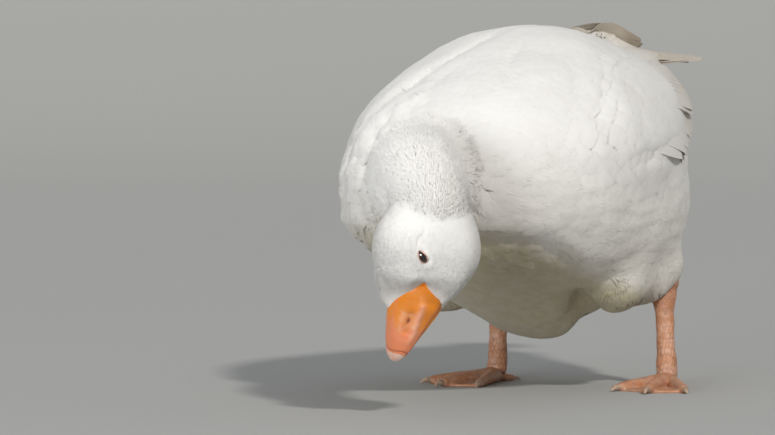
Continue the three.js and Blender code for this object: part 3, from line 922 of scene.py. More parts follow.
def mark_coats(mesh, points, head_points, shares, feathered, face, blur):
    """Stores on the skin where each coat grows, and how large its tufts are at each point."""
    region = dict(zip(REGIONS, shares.T))
    body = trunk_and_rump(shares)
    neck_line = drawn_line(NECK_PATH, steps=30)
    near_head = ramp(0.5, 0.93, distance_to_line(points, neck_line)[1]) * region["neck"]
    beside_neck = blur.run(region["neck"] + region["head"], 90)
    near_neck = ramp(0.02, 0.5, beside_neck) * body
    wider = np.clip(blur.run(body, 25) * 3, 0, 1)
    wide_body = body + (wider - body) * ramp(0.1, 0.02, beside_neck)
    sown = sown_coats(points, head_points, shares, feathered, near_neck, near_head, wide_body, blur)
    for name, weight in sown.items():
        add_values(mesh, **{"grow_" + name: np.clip(weight * 2.2 - 0.3, 0, 1)})
    growing = 1 + region["wing"] * table(WING_TUFT_GROWTH, points[:, 1])
    crown = 1 + 0.6 * region["head"] * ramp(105 * MM, 160 * MM, head_points[:, 0])
    small = (0.45 + 0.55 * face) * growing
    small = small * (1 - 0.2 * near_neck) * (1 - 0.48 * near_head)
    add_values(mesh, small=small * crown)


def unwrap(obj):
    """Lays the object's surface out flat on the baking map."""
    bpy.context.view_layer.objects.active = obj
    obj.select_set(True)
    bpy.ops.object.mode_set(mode="EDIT")
    bpy.ops.mesh.select_all(action="SELECT")
    bpy.ops.uv.smart_project(angle_limit=math.radians(66), island_margin=0.002)
    bpy.ops.object.mode_set(mode="OBJECT")
    obj.select_set(False)
    obj.data.uv_layers.active.name = "OFBake"


def make_skin(settings):
    """One skin over all the flesh, sunk by the depth of the coat, with sockets, folds and a bill seat."""
    skin, points, shares, blur = fused_flesh(settings)
    mesh = skin.data
    normals = normals_of(mesh)
    head_points = to_head(points)
    reach, degrees = round_bill(head_points)
    on_head = (reach < 75 * MM) & (head_points[:, 0] < 190 * MM)
    from_bill = np.where(on_head, head_points[:, 0] - feather_edge(head_points, degrees), 1.0)
    openings = lid_openings(head_points)
    face = np.minimum(ramp(-2 * MM, 16 * MM, from_bill), ramp(1.0, 3.4, openings))

    depth, belly = coat_depth(points, shares, face, blur)
    points = shaped_body(points, normals, shares, depth, belly)
    head_points = shaped_head(to_head(points), normals @ HEAD_AXES.T, on_head, blur)
    points = np.where(on_head[:, None], from_head(head_points), points)
    set_points(mesh, points)

    normals = normals_of(mesh)
    feathered = feathered_places(head_points, from_bill, openings)
    mark_coats(mesh, points, head_points, shares, feathered, face, blur)
    lie = lie_of_coat(points, normals, shares, blur)
    add_values(mesh, lie=lie, upright=unit(blur.run(normals, 4)), depth=depth)
    unwrap(skin)
    mesh.materials.append(plumage_paint("skin plumage", settings, on_tufts=False))
    return finish_piece(skin, FLESH)


# ------------------ tufts

def vane(rng, columns, rows, camber, fray, tip):
    """A broad feather of unit length and width: arched top, flat underside, rounded frayed tip."""
    u = np.linspace(-1, 1, columns)
    v = np.linspace(0, 1, rows)
    half = table([(0, 0.35), (0.3, 0.85), (0.6, 1.0), (0.85, 0.5 + 0.85 * tip), (1, tip)], v)
    grid_u, grid_v = np.meshgrid(u, v)
    x = grid_u * half[:, None] / 2 + rng.uniform(-fray, fray, grid_u.shape) * 0.3 * grid_v
    y = grid_v * (1 - 0.10 * grid_u**2 * grid_v) + rng.uniform(-fray, fray, grid_u.shape) * (grid_v > 0.7)
    bulge = camber * (1 - grid_u**2) * (0.4 + 0.6 * np.sin(np.pi * np.clip(grid_v, 0.05, 0.95)))
    faces = []
    for r in range(rows - 1):
        a, b = r * columns, (r + 1) * columns
        faces += [(a + c, a + c + 1, b + c + 1, b + c) for c in range(columns - 1)]
        faces.append((a, b, b + columns - 1, a + columns - 1))
    faces.append(tuple(range(columns - 1, -1, -1)))
    faces.append(tuple((rows - 1) * columns + c for c in range(columns)))
    return x.ravel(), y.ravel(), bulge.ravel(), grid_u.ravel() * half.repeat(columns), grid_v.ravel(), faces


def locks(rng, count, segments, spread, curl, thickness):
    """A tuft of slender tapering locks, fanned out from one root, of unit length and width."""
    xs, ys, bulges, us, vs, faces = [], [], [], [], [], []
    for i in range(count):
        aside = (2 * i / max(count - 1, 1) - 1) + rng.uniform(-0.15, 0.15)
        length = 1 - 0.16 * aside**2 + rng.uniform(-0.14, 0.06)
        sway = rng.uniform(-curl, curl)
        start = len(xs)
        for s in range(segments):
            v = s / segments
            middle = 0.5 * aside * (0.35 + 0.65 * v * spread) + sway * v * v
            half = (0.62 / count) * table([(0, 0.7), (0.4, 1), (1, 0.12)], v)
            for u in (-1, 0, 1):
                xs.append(middle + u * half)
                ys.append(v * length)
                bulges.append(thickness * (1 - abs(u)) * (1 - 0.4 * v))
                us.append(aside)
                vs.append(v)
        xs.append(0.5 * aside * (0.35 + 0.65 * spread) + sway)
        ys.append(length)
        bulges.append(0.0)
        us.append(aside)
        vs.append(1.0)
        faces.append((start + 2, start + 1, start))
        for s in range(segments - 1):
            a = start + 3 * s
            b = a + 3
            faces += [(a, a + 1, b + 1, b), (a + 1, a + 2, b + 2, b + 1), (a + 2, a, b, b + 2)]
        a, tip = start + 3 * (segments - 1), start + 3 * segments
        faces += [(a, a + 1, tip), (a + 1, a + 2, tip), (a + 2, a, tip)]
    return (*[np.array(values) for values in (xs, ys, bulges, us, vs)], faces)


# Each tuft: its maker and the maker's sizes, how soon it comes to its full height, how far its tip
# stands out, how many kinds there are, and their seed.
TUFTS = {
    "broad": (vane, (5, 6, 0.00035, 0.03, 0.34), 3.6, 0.0, 8, 101),
    "covert": (vane, (7, 7, 0.0005, 0.015, 0.42), 3.2, 0.0, 6, 102),
    "streak": (locks, (8, 3, 1.2, 0.26, 0.0003), 3.0, 0.0, 6, 103),
    "fluff": (locks, (7, 3, 1.5, 0.4, 0.0003), 2.4, 0.05, 6, 104),
    "short": (locks, (3, 2, 1.2, 0.14, 0.0003), 3.2, 0.10, 8, 105),
    "wisps": (locks, (4, 3, 1.7, 0.4, 0.0003), 2.0, 0.55, 6, 107),
    "fine": (locks, (3, 2, 1.2, 0.16, 0.0002), 2.0, 0.10, 8, 106),
}

# Each coat: its piece, where it grows, its tuft, spacing, length and width in metres, the most that
# a tuft turns aside in degrees, the seed, and its height against the depth of the coat.
COATS = [
    ("front_left", "front_left", "broad", 0.0047, 0.030, 0.0135, 8, 11, 1.0),
    ("front_right", "front_right", "broad", 0.0047, 0.030, 0.0135, 8, 12, 1.0),
    ("rear_left", "rear_left", "broad", 0.0047, 0.030, 0.0135, 8, 13, 1.0),
    ("rear_right", "rear_right", "broad", 0.0047, 0.030, 0.0135, 8, 14, 1.0),
    ("flanks", "flank", "streak", 0.0095, 0.034, 0.016, 8, 21, 1.05),
    ("thighs", "thigh", "fluff", 0.0052, 0.019, 0.0115, 24, 22, 1.02),
    ("wings", "wing", "covert", 0.0080, 0.044, 0.024, 5, 23, 1.05),
    ("neck", "neck", "short", 0.0022, 0.0122, 0.0042, 12, 24, 1.0),
    ("nape", "nape", "wisps", 0.0058, 0.0155, 0.0055, 26, 27, 1.0),
    ("head_left", "head_left", "fine", 0.00125, 0.0072, 0.0023, 20, 25, 1.0),
    ("head_right", "head_right", "fine", 0.00125, 0.0072, 0.0023, 20, 26, 1.0),
]


def tuft_patterns(name):
    """A few differing tufts in a collection, each carrying the values that shape it on the skin."""
    make, sizes, settle, stand, kinds, seed = TUFTS[name]
    rng = np.random.default_rng(seed)
    patterns = bpy.data.collections.new(name)
    bpy.context.scene.collection.children.link(patterns)
    for i in range(kinds):
        x, y, bulge, across, lengthwise, faces = make(rng, *sizes)
        obj = mesh_object(f"{name}_{i}", np.stack([x, y, 0 * x], 1), faces)
        rise = 1 - (1 - lengthwise) ** settle + stand * lengthwise**2
        add_values(obj.data, across=across, along=lengthwise, bulge=bulge, rise=rise)
        bpy.context.scene.collection.objects.unlink(obj)
        patterns.objects.link(obj)
    return patterns


class Tree(Nodes):
    """A Geometry Nodes tree with one geometry in, one out, and named settings."""

    def __init__(self, name, inputs):
        self.tree = bpy.data.node_groups.new(name, "GeometryNodeTree")
        face = self.tree.interface
        face.new_socket("Geometry", in_out="INPUT", socket_type="NodeSocketGeometry")
        face.new_socket("Geometry", in_out="OUTPUT", socket_type="NodeSocketGeometry")
        self.ids = {}
        for key, kind in inputs.items():
            self.ids[key] = face.new_socket(key, in_out="INPUT", socket_type=kind).identifier
        self.start = self.add("NodeGroupInput").outputs
        self.end = self.add("NodeGroupOutput").inputs

    def named(self, name, kind="FLOAT"):
        node = self.add("GeometryNodeInputNamedAttribute", {"Name": name}, data_type=kind)
        return node.outputs["Attribute"]

    def random(self, low, high, seed):
        node = self.add("FunctionNodeRandomValue", data_type="FLOAT")
        sockets = [s for s in node.inputs if s.type == "VALUE"]
        self.put(low, sockets[0])
        self.put(high, sockets[1])
        self.put(seed, node.inputs["Seed"])
        return [s for s in node.outputs if s.type == "VALUE"][0]

    def vector(self, operation, a, b=None, scale=None):
        node = self.add("ShaderNodeVectorMath", operation=operation)
        self.put(a, node.inputs[0])
        self.put(b, node.inputs[1])
        if scale is not None:
            self.put(scale, node.inputs["Scale"])
        return node.outputs["Vector"]

    def store(self, geometry, name, value, kind="FLOAT", domain="POINT"):
        node = self.add("GeometryNodeStoreNamedAttribute", {"Geometry": geometry, "Name": name},
                        data_type=kind, domain=domain)
        self.put(value, node.inputs["Value"])
        return node.outputs["Geometry"]

    def on_skin(self, skin, value, place):
        """A value of the skin at its nearest place."""
        node = self.add("GeometryNodeSampleNearestSurface", {"Mesh": skin, "Sample Position": place},
                        data_type="FLOAT_VECTOR")
        self.put(value, node.inputs["Value"])
        return node.outputs["Value"]


PATCH = 0.003  # size of one feather's patch on the baking map
TUFT_ROOT_DEPTH = 0.0005  # how deep below its own height a tuft is set
CROWDING = 3.0  # points tried for each square of the spacing


def scattered_points(t, skin):
    """Places where tufts grow, each with its place on the map, its shade and its own rise."""
    spacing = t.start["Spacing"]
    crowd = t.math("DIVIDE", CROWDING, t.times(spacing, spacing))
    scatter = t.add("GeometryNodeDistributePointsOnFaces", {
        "Mesh": skin, "Distance Min": spacing, "Density Max": crowd,
        "Density Factor": t.named(t.start["Where"]), "Seed": t.start["Seed"],
    }, distribute_method="POISSON")
    points = scatter.outputs["Points"]
    points = t.store(points, "root_place", t.named("OFBake", "FLOAT_VECTOR"), "FLOAT_VECTOR")
    points = t.store(points, "tuft_shade", t.random(0.0, 1.0, 11))
    return t.store(points, "tuft_rise", t.random(0.98, 1.02, 12))


def tuft_turn(t):
    """Stands a tuft on the skin, points it along the coat's lie and turns it a little aside."""
    align = "FunctionNodeAlignRotationToVector"
    stand = t.add(align, {"Vector": t.named("upright", "FLOAT_VECTOR")}, axis="Z")
    backward = {"Rotation": stand.outputs[0], "Vector": t.named("lie", "FLOAT_VECTOR")}
    face_back = t.add(align, backward, axis="Y", pivot_axis="Z")
    turn = t.random(t.times(t.start["Turn"], -1.0), t.start["Turn"], 13)
    spin = t.add("FunctionNodeEulerToRotation")
    angles = t.add("ShaderNodeCombineXYZ", {"Z": turn})
    t.put(angles.outputs[0], spin.inputs[0])
    turned = t.add("FunctionNodeRotateRotation",
                   {"Rotation": face_back.outputs[0], "Rotate By": spin.outputs[0]}, rotation_space="LOCAL")
    return turned.outputs[0]


def tuft_scale(t):
    size = t.times(t.random(0.85, 1.18, 14), t.named("small"))
    scale = t.add("ShaderNodeCombineXYZ", {
        "X": t.times(size, t.start["Width"]),
        "Y": t.times(size, t.start["Length"]),
        "Z": 1.0,
    })
    return scale.outputs[0]


def tuft_choice(t):
    """A random whole number that picks one of the tufts for each place."""
    choice = t.add("FunctionNodeRandomValue", data_type="INT")
    lowest, highest = [s for s in choice.inputs if s.type == "INT"][:2]
    t.put(0, lowest)
    t.put(50, highest)
    t.put(15, choice.inputs["Seed"])
    return [s for s in choice.outputs if s.type == "INT"][0]


def laid_on_skin(t, skin):
    """Where a tuft's points go: to the nearest place on the skin, and up from it by their own height."""
    place = t.add("GeometryNodeInputPosition").outputs[0]
    ground = t.on_skin(skin, place, place)
    up = t.vector("NORMALIZE", t.on_skin(skin, t.named("upright", "FLOAT_VECTOR"), place))
    height = t.times(t.times(t.named("depth"), t.named("rise")), t.named("tuft_rise"))
    height = t.times(height, t.start["Height"])
    height = t.plus(height, t.times(t.named("bulge"), t.named("small")))
    height = t.math("SUBTRACT", height, TUFT_ROOT_DEPTH)
    return t.vector("ADD", ground, t.vector("SCALE", up, scale=height))


def map_patch(t):
    """A tuft's own small patch on the baking map, about the place where its root stands."""
    patch = t.add("ShaderNodeCombineXYZ", {
        "X": t.times(t.named("across"), PATCH / 2),
        "Y": t.times(t.math("SUBTRACT", t.named("along"), 0.5), PATCH),
    })
    return t.vector("ADD", t.named("root_place", "FLOAT_VECTOR"), patch.outputs[0])


def coat_tree():
    """Scatters tufts over the skin along its lie, lays them down on it and gives each its own map patch."""
    t = Tree("Coat", {
        "Tufts": "NodeSocketCollection", "Where": "NodeSocketString", "Spacing": "NodeSocketFloat",
        "Length": "NodeSocketFloat", "Width": "NodeSocketFloat", "Height": "NodeSocketFloat",
        "Turn": "NodeSocketFloat", "Seed": "NodeSocketInt", "Material": "NodeSocketMaterial",
    })
    skin = t.start["Geometry"]
    points = scattered_points(t, skin)
    turn = tuft_turn(t)
    scale = tuft_scale(t)
    choice = tuft_choice(t)
    tufts = t.add("GeometryNodeCollectionInfo", {
        "Collection": t.start["Tufts"], "Separate Children": True, "Reset Children": True,
    })
    planted = t.add("GeometryNodeInstanceOnPoints", {
        "Points": points, "Instance": tufts.outputs[0], "Pick Instance": True, "Instance Index": choice,
        "Rotation": turn, "Scale": scale,
    })
    real = t.add("GeometryNodeRealizeInstances", {"Geometry": planted.outputs[0]}).outputs[0]
    laid = t.add("GeometryNodeSetPosition", {"Geometry": real, "Position": laid_on_skin(t, skin)}).outputs[0]
    mapped = t.store(laid, "OFBake", map_patch(t), "FLOAT2", "CORNER")
    painted = t.add("GeometryNodeSetMaterial", {"Geometry": mapped, "Material": t.start["Material"]})
    t.put(painted.outputs[0], t.end["Geometry"])
    return t


KEPT_VALUES = {
    "position", "sharp_edge", "sharp_face", "material_index", "OFBake", "across", "along", "tuft_shade",
}


def grow_coat(t, name, where, patterns, material, spacing, length, width, turn, seed, height):
    """Runs the coat tree on a copy of the skin and keeps the result as one plain mesh."""
    host = new_object(name, bpy.data.objects["goose_skin"].data.copy())
    grower = host.modifiers.new("coat", "NODES")
    grower.node_group = t.tree
    values = {
        "Tufts": patterns, "Where": "grow_" + where, "Spacing": spacing, "Length": length, "Width": width,
        "Height": height, "Turn": math.radians(turn), "Seed": seed, "Material": material,
    }
    for key, value in values.items():
        grower[t.ids[key]] = value
    mesh = apply_modifiers(host)
    if len(mesh.polygons) == 0:
        raise RuntimeError(f"{name} grew no feathers")
    for layer in [a.name for a in mesh.attributes if a.name not in KEPT_VALUES]:
        if not layer.startswith("."):
            mesh.attributes.remove(mesh.attributes[layer])
    mesh.set_sharp_from_angle(angle=SHARP_ANGLE)
    return finish_piece(host)


def clear_patterns(patterns):
    """Removes the loose tufts once every coat has been grown."""
    for obj in list(patterns.objects):
        mesh = obj.data
        bpy.data.objects.remove(obj)
        bpy.data.meshes.remove(mesh)
    bpy.data.collections.remove(patterns)


def make_plumage(settings):
    """Every small feather: broad ones on the body and wings, finer tufts on the neck, head and thighs."""
    ribbed = plumage_paint("plumage", settings, ribbed=0.06)
    fine = plumage_paint("fine plumage", settings)
    patterns = {name: tuft_patterns(name) for name in TUFTS}
    tree = coat_tree()
    for piece, where, tuft, *sizes in COATS:
        material = ribbed if TUFTS[tuft][0] is vane else fine
        grow_coat(tree, "plumage_" + piece, where, patterns[tuft], material, *sizes)
    for loose in patterns.values():
        clear_patterns(loose)


# ------------------ bill

BILL_BACK = 96 * MM
NOSTRIL = np.array((47.2, 16.8, 16.4)) * MM
NOSTRIL_WAY = (1.0, 0.12, 0.2)
NOSTRIL_OPENING = (3.5 * MM, 1.05 * MM)  # half length and half height
UPPER = {
    "start": 96, "end": 0, "round": (2.0, 3.0), "below": [(-1, 20), (1, 10)],
    "width": [(-1, 30), (-0.54, 28), (-0.15, 21), (0.17, 18.8), (0.5, 19), (0.8, 20), (1, 19)],
    "centre": [(-1, 8), (0, 6), (1, 0)],
    "above": [(-1, 36), (-0.67, 34), (-0.35, 27), (0, 22.5), (0.5, 17), (0.75, 15), (1, 13)],
}
LOWER = {
    "start": 90, "end": 5, "round": (3.0, 2.0), "above": [(-1, 9), (1, 6)],
    "width": [(-1, 25), (-0.5, 22), (0, 17), (0.5, 15), (1, 16)],
    "centre": [(-1, -5), (1, -4)],
    "below": [(-1, 11), (-0.5, 9.5), (0, 7), (0.5, 5.5), (1, 5)],
}
MOUTH_LINE = -2 * MM
RIDGE_LINE = [(80, 22.5, 18), (66, 22, 14), (50, 20.6, 9.5), (34, 18.6, 5.5), (22, 17.5, 2.5)]
HOLLOW_LINE = [(61, 18.5, 20), (54, 17.8, 18), (46, 16.6, 15.8), (38, 15.8, 13), (33, 15.2, 11)]
CULMEN_LINE = [(75, 5, 38), (60, 6, 31), (45, 6, 25), (28, 6, 18)]


def half_bill(shape, back, angle):
    """Points of one half of the bill at places back from the tip (metres) and angles round it (radians)."""
    start, end = shape["start"] * MM, shape["end"] * MM
    q = np.clip(1 - 2 * (back - end) / (start - end), -1, 1)
    swell = np.sqrt(np.clip(1 - q * q, 0, 1))
    over = np.sin(angle) >= 0
    level = np.where(over, table(shape["above"], q), table(shape["below"], q))
    power = np.where(over, 2 / shape["round"][0], 2 / shape["round"][1])
    side = swell * table(shape["width"], q) * bend(np.cos(angle), power)
    high = table(shape["centre"], q) + swell * level * bend(np.sin(angle), power)
    return np.stack([back, side * MM, high * MM], -1)


def groove(points, line, width):
    """1 on a line drawn on both sides of the bill, in millimetres, falling off over the given width."""
    best = np.zeros(len(points))
    for side in SIDES.values():
        d, place = distance_to_line(points, drawn_line(line, side))
        ends = np.clip(np.minimum(place, 1 - place) * 5, 0.15, 1)
        best = np.maximum(best, ends * np.exp(-((d / (width * MM)) ** 2)))
    return best


def nail_edge(angle):
    """How far back from the tip the nail reaches, at angles round the bill."""
    side = np.abs(np.cos(angle))
    return (10.8 + 5.5 * side**3) * MM


def bill_grid(shape, rows, columns):
    """Points over one half of the bill from its tip to its base, and their angles round it."""
    start, end = shape["start"] * MM, shape["end"] * MM
    share = (1 - np.cos(np.pi * (np.arange(rows) + 1) / (rows + 1))) / 2
    back = np.repeat(end + (start - end) * share, columns)
    angle = np.tile(2 * np.pi * np.arange(columns) / columns, rows)
    points = half_bill(shape, back, angle)
    tip = half_bill(shape, np.array([end]), np.array([0.0]))
    base = half_bill(shape, np.array([start]), np.array([0.0]))
    return np.concatenate([tip, points, base]), np.concatenate([[0], angle, [0]])


def place_in_head(name, points, faces, material):
    """A new object from points in the head's own axes."""
    obj = outward(mesh_object(name, from_head(points), faces))
    obj.data.materials.append(material)
    return obj


def from_nostril(points):
    """How many half openings each point lies from the middle of the nearer nostril."""
    way = unit(np.array(NOSTRIL_WAY))
    nearest = np.full(len(points), 9.0)
    for p in (points, points * (1, -1, 1)):
        d = p - NOSTRIL
        run = d @ way
        aside = np.linalg.norm(d - run[:, None] * way, axis=1)
        nearest = np.minimum(nearest, np.hypot(run / NOSTRIL_OPENING[0], aside / NOSTRIL_OPENING[1]))
    return nearest


def flat_mouth(points, back):
    """Cuts the upper bill off flat at the mouth, with a hollow roof inside a toothed rim."""
    low = points[:, 2] < MOUTH_LINE
    teeth = 0.30 * MM * np.sin(2 * np.pi * back / (1.9 * MM)) * ramp(16 * MM, 24 * MM, back)
    rim = np.abs(points[:, 1]) > 0.62 * table(UPPER["width"], 1 - 2 * back / BILL_BACK) * MM
    points[:, 2] = np.where(low, MOUTH_LINE - np.where(rim, 0.9 * MM + teeth, -1.5 * MM), points[:, 2])
    return points


def make_upper_bill(horn):
    """The upper bill, with its ridge, the hollow and nostril under it, and the groove behind the nail."""
    rows, columns = 110, 96
    points, angle = bill_grid(UPPER, rows, columns)
    back = points[:, 0]
    out = unit(points - np.stack([back, 0 * back, 0 * back + 5 * MM], 1))
    hollow, ridge = groove(points, HOLLOW_LINE, 4.4), groove(points, RIDGE_LINE, 3.2)
    culmen = groove(points, CULMEN_LINE, 2.6)
    from_slot = from_nostril(points)
    slot = ramp(1.45, 0.55, from_slot)
    nail_gap = np.exp(-(((back - nail_edge(angle)) / (0.75 * MM)) ** 2)) * (np.sin(angle) > -0.4)
    lumps = ripple(points, 0.012, 5) * 0.35 + ripple(points, 0.004, 6) * 0.10
    base_edge = feather_edge(points, round_bill(points)[1])
    base_fold = np.exp(-(((back - base_edge + 2.5 * MM) / (1.6 * MM)) ** 2))
    rise = (
        -3.0 * hollow + 1.3 * groove(points, HOLLOW_LINE, 6.8) + 1.6 * ridge
        + 0.5 * culmen - 1.9 * slot - 0.9 * nail_gap + lumps * 0.8 + 0.35 * base_fold
    )
    points = flat_mouth(points + out * (rise * MM)[:, None], back)
    upper = place_in_head("bill_top", points, closed_grid(rows, columns), horn)
    by_edge = ramp(4.5 * MM, 0.5 * MM, points[:, 2] - MOUTH_LINE)
    salmon = (
        ramp(52 * MM, 22 * MM, back) * 0.9 + 0.75 * ridge * ramp(80 * MM, 60 * MM, back)
        + 0.5 * culmen + 0.4 * by_edge * ramp(80 * MM, 60 * MM, back)
    )
    rim = np.clip(groove(points, HOLLOW_LINE, 7.0) - groove(points, HOLLOW_LINE, 4.6), 0, 1)
    ring = ramp(3.2, 2.0, from_slot) - slot
    # Painted shade: just under the mouth's line, in the nostril, a little in the nasal hollow, and in the
    # groove behind the nail.
    under = ramp(0.0, -0.6 * MM, points[:, 2] - MOUTH_LINE) * 0.55
    dark = np.maximum(slot * 0.9 + 0.22 * hollow, nail_gap * 0.75) + under
    # Pale along the ridge is painted highlight; the hollow's rim and the ring round the nostril are pale
    # horn.
    pale = 2.0 * rim + 0.6 * ring + 0.5 * ridge
    add_values(upper.data, salmon=np.clip(salmon, 0, 1), pale=np.clip(pale, 0, 1), dark=np.clip(dark, 0, 1))
    finish_piece(upper, ("bill_upper",))


def make_lower_bill(horn):
    """The lower bill, flat at the mouth, with a trough along its underside."""
    rows, columns = 70, 72
    points, _angle = bill_grid(LOWER, rows, columns)
    back = points[:, 0]
    out = unit(points - np.stack([back, 0 * back, 0 * back - 5 * MM], 1))
    points += out * ((ripple(points, 0.010, 7) * 0.3 + ripple(points, 0.003, 8) * 0.1) * MM)[:, None]
    trough = ramp(5 * MM, 0, np.abs(points[:, 1])) * (points[:, 2] < -7 * MM)
    trough = trough * ramp(22 * MM, 40 * MM, back)
    points[:, 2] += 1.2 * MM * trough
    rim_top = MOUTH_LINE - 1.1 * MM
    high = points[:, 2] > rim_top
    points[:, 2] = np.where(high, rim_top, points[:, 2])
    lower = place_in_head("bill_bottom", points, closed_grid(rows, columns), horn)
    salmon = ramp(34 * MM, 10 * MM, back) * 0.9
    # Painted shade on the flat top of the lower bill, inside the mouth.
    add_values(lower.data, salmon=salmon, dark=np.where(high, 0.7, 0.0), pale=0 * back)
    finish_piece(lower, ("bill_lower",))


def make_bill_nail(horn):
    """The nail is a shell over the upper bill's tip: an outer face, and an inner one sunk in the bill."""
    rows, columns = 26, 72
    share = np.linspace(0, 1, rows)[1:]
    angle = 2 * np.pi * np.arange(columns) / columns
    shells = []
    for lift, edge_drop, sweep in ((0.55, 0.9, share), (-1.4, 0.3, share[::-1] * 0.96)):
        s, a = np.repeat(sweep, columns), np.tile(angle, len(sweep))
        p = half_bill(UPPER, s**1.5 * nail_edge(a), a)
        p[:, 2] = np.maximum(p[:, 2], MOUTH_LINE - 0.6 * MM)
        out = unit(p - np.array((14 * MM, 0, 2 * MM)))
        crown = lift * (1 - s**6) - edge_drop * s**6
        shells.append(p + out * ((crown + ripple(p, 0.003, 9) * 0.12) * MM)[:, None])
    tip = np.array([(-0.5 * MM, 0, 0)])
    inner = np.array([(1.8 * MM, 0, 0)])
    points = np.concatenate([tip, *shells, inner])
    cap = place_in_head("bill_tip", points, closed_grid(2 * (rows - 1), columns), horn)
    from_edge = shells[0][:, 0] - nail_edge(np.tile(angle, rows - 1))
    from_edge = np.concatenate([[9], from_edge, shells[1][:, 0] * 0 + 9, [9]])
    # Painted shade along the nail's rear edge, in the groove behind it.
    add_values(cap.data, dark=ramp(2.2 * MM, 0.3 * MM, np.abs(from_edge)) * 0.5)
    finish_piece(cap, ("bill_nail",))


def make_bill(settings):
    """Upper bill with nasal hollows and nostrils, lower bill, and the hard nail at the tip."""
    horn = bill_paint("bill horn", settings)
    nail = nail_paint("bill nail", settings)
    make_upper_bill(horn)
    make_lower_bill(horn)
    make_bill_nail(nail)


# ------------------ eyes

CORNEA = 0.035  # how far the cornea bulges, against the ball's radius
LID_OPENING = (5.9 * MM, 3.1 * MM)  # half length and half height at the inner edge of the lid

# Section of the lid, as (share of the opening, height over the ball's surface in millimetres).
LID_SECTION = [
    (0.99, -0.9), (0.985, 0.08), (1.03, 0.42), (1.10, 0.62),
    (1.22, 0.55), (1.38, 0.2), (1.52, -0.5), (1.2, -2.2),
]


def make_eyeball(place, side, glass):
    """A ball with a slight corneal bulge, carrying each point's distance from the pupil's middle."""
    centre, facing, long_way, cross_way = eye_frame(side)
    rows, columns = 44, 48
    polar = np.pi * (np.arange(rows) + 1) / (rows + 1)
    spin = 2 * np.pi * np.arange(columns) / columns
    p, s = np.repeat(polar, columns), np.tile(spin, rows)
    radius = EYE_BALL * (1 + CORNEA * np.exp(-((p / 0.55) ** 2)))
    rings = (
        facing * (np.cos(p) * radius)[:, None]
        + long_way * (np.sin(p) * np.cos(s) * radius)[:, None]
        + cross_way * (np.sin(p) * np.sin(s) * radius)[:, None]
    )
    points = np.concatenate([[facing * EYE_BALL * (1 + CORNEA)], rings, [-facing * EYE_BALL]]) + centre
    ball = place_in_head("eyeball_" + place, points, closed_grid(rows, columns), glass)
    d = points - centre
    out = d @ facing
    flat = np.linalg.norm(d - out[:, None] * facing, axis=1)
    add_values(ball.data, from_pupil=np.where(out > 0, flat, 9 * MM))
    finish_piece(ball, ("eye_" + place,))


def make_eyelid(place, side, skin):
    """An almond-shaped ring of bare, finely wrinkled lid on the ball."""
    centre, facing, long_way, cross_way = eye_frame(side)
    turns = 72
    angle = 2 * np.pi * np.arange(turns) / turns
    almond = 1 + 0.10 * np.cos(angle) ** 4 - 0.10 * np.abs(np.sin(2 * angle))
    rings = []
    faces = []
    for i, (share, lift) in enumerate(LID_SECTION):
        wide = LID_OPENING[0] * share * np.cos(angle) * almond
        tall = LID_OPENING[1] * share * np.sin(angle) * almond
        surface = np.sqrt(np.maximum(EYE_BALL**2 - wide**2 - tall**2, 0))
        wrinkle = 0.10 * MM * np.sin(angle * 17 + share * 5) * (share > 1.1)
        height = surface + lift * MM + wrinkle
        rings.append(centre + facing * height[:, None] + long_way * wide[:, None] + cross_way * tall[:, None])
        a, b = i * turns, ((i + 1) % len(LID_SECTION)) * turns
        faces += [(a + c, a + (c + 1) % turns, b + (c + 1) % turns, b + c) for c in range(turns)]
    lid = place_in_head("eyelid_" + place, np.concatenate(rings), faces, skin)
    rounding = lid.modifiers.new("round", "SUBSURF")
    rounding.levels = rounding.render_levels = 1
    apply_modifiers(lid)
    finish_piece(lid)


def make_eyes(settings):
    """Both eyeballs, each in its ring of bare lid."""
    glass = eye_paint("eye", settings)
    skin = lid_paint("eyelid", settings)
    for place, side in SIDES.items():
        make_eyeball(place, side, glass)
        make_eyelid(place, side, skin)


# ------------------ legs and feet

def hex_cells(u, v, size):
    """Distance-like height of hexagonal scales: 0 in the creases and 1 on the tops."""
    rise = size * math.sqrt(3) / 2
    best = np.full(u.shape, 9.0)
    second = np.full(u.shape, 9.0)
    row = np.floor(v / rise)
    for dr in (-1, 0, 1, 2):
        r = row + dr
        shift = np.where(np.mod(r, 2) > 0.5, 0.5, 0.0)
        column = np.floor(u / size - shift)
        for dc in (0, 1):
            cu, cv = (column + dc + shift) * size, r * rise
            d = np.hypot(u - cu, v - cv) / size
            second = np.minimum(second, np.maximum(best, d))
            best = np.minimum(best, d)
    return np.clip((second - best) / 0.35, 0, 1)


SHANK_LENGTH = 100 * MM
SHANK_GIRTH = 16 * 3.9  # millimetres round the shank, where it is slender
SCALES_ROUND = 15
TOE_BAND = 3.6 * MM  # from one band across a toe to the next

# A claw from its root inside the toe to its tip: (millimetres past the toe's end, height of its
# middle, radius), the last two against half the toe's thickness.
CLAW_STATIONS = [(-5, 1.2, 1.0), (2.2, 1.3, 0.85), (6.4, 0.75, 0.45), (8.0, 0.32, 0.20)]


def hump(share, middle, width):
    """1 at a place along the shank, falling off to both sides."""
    return np.exp(-(((share - middle) / width) ** 2))


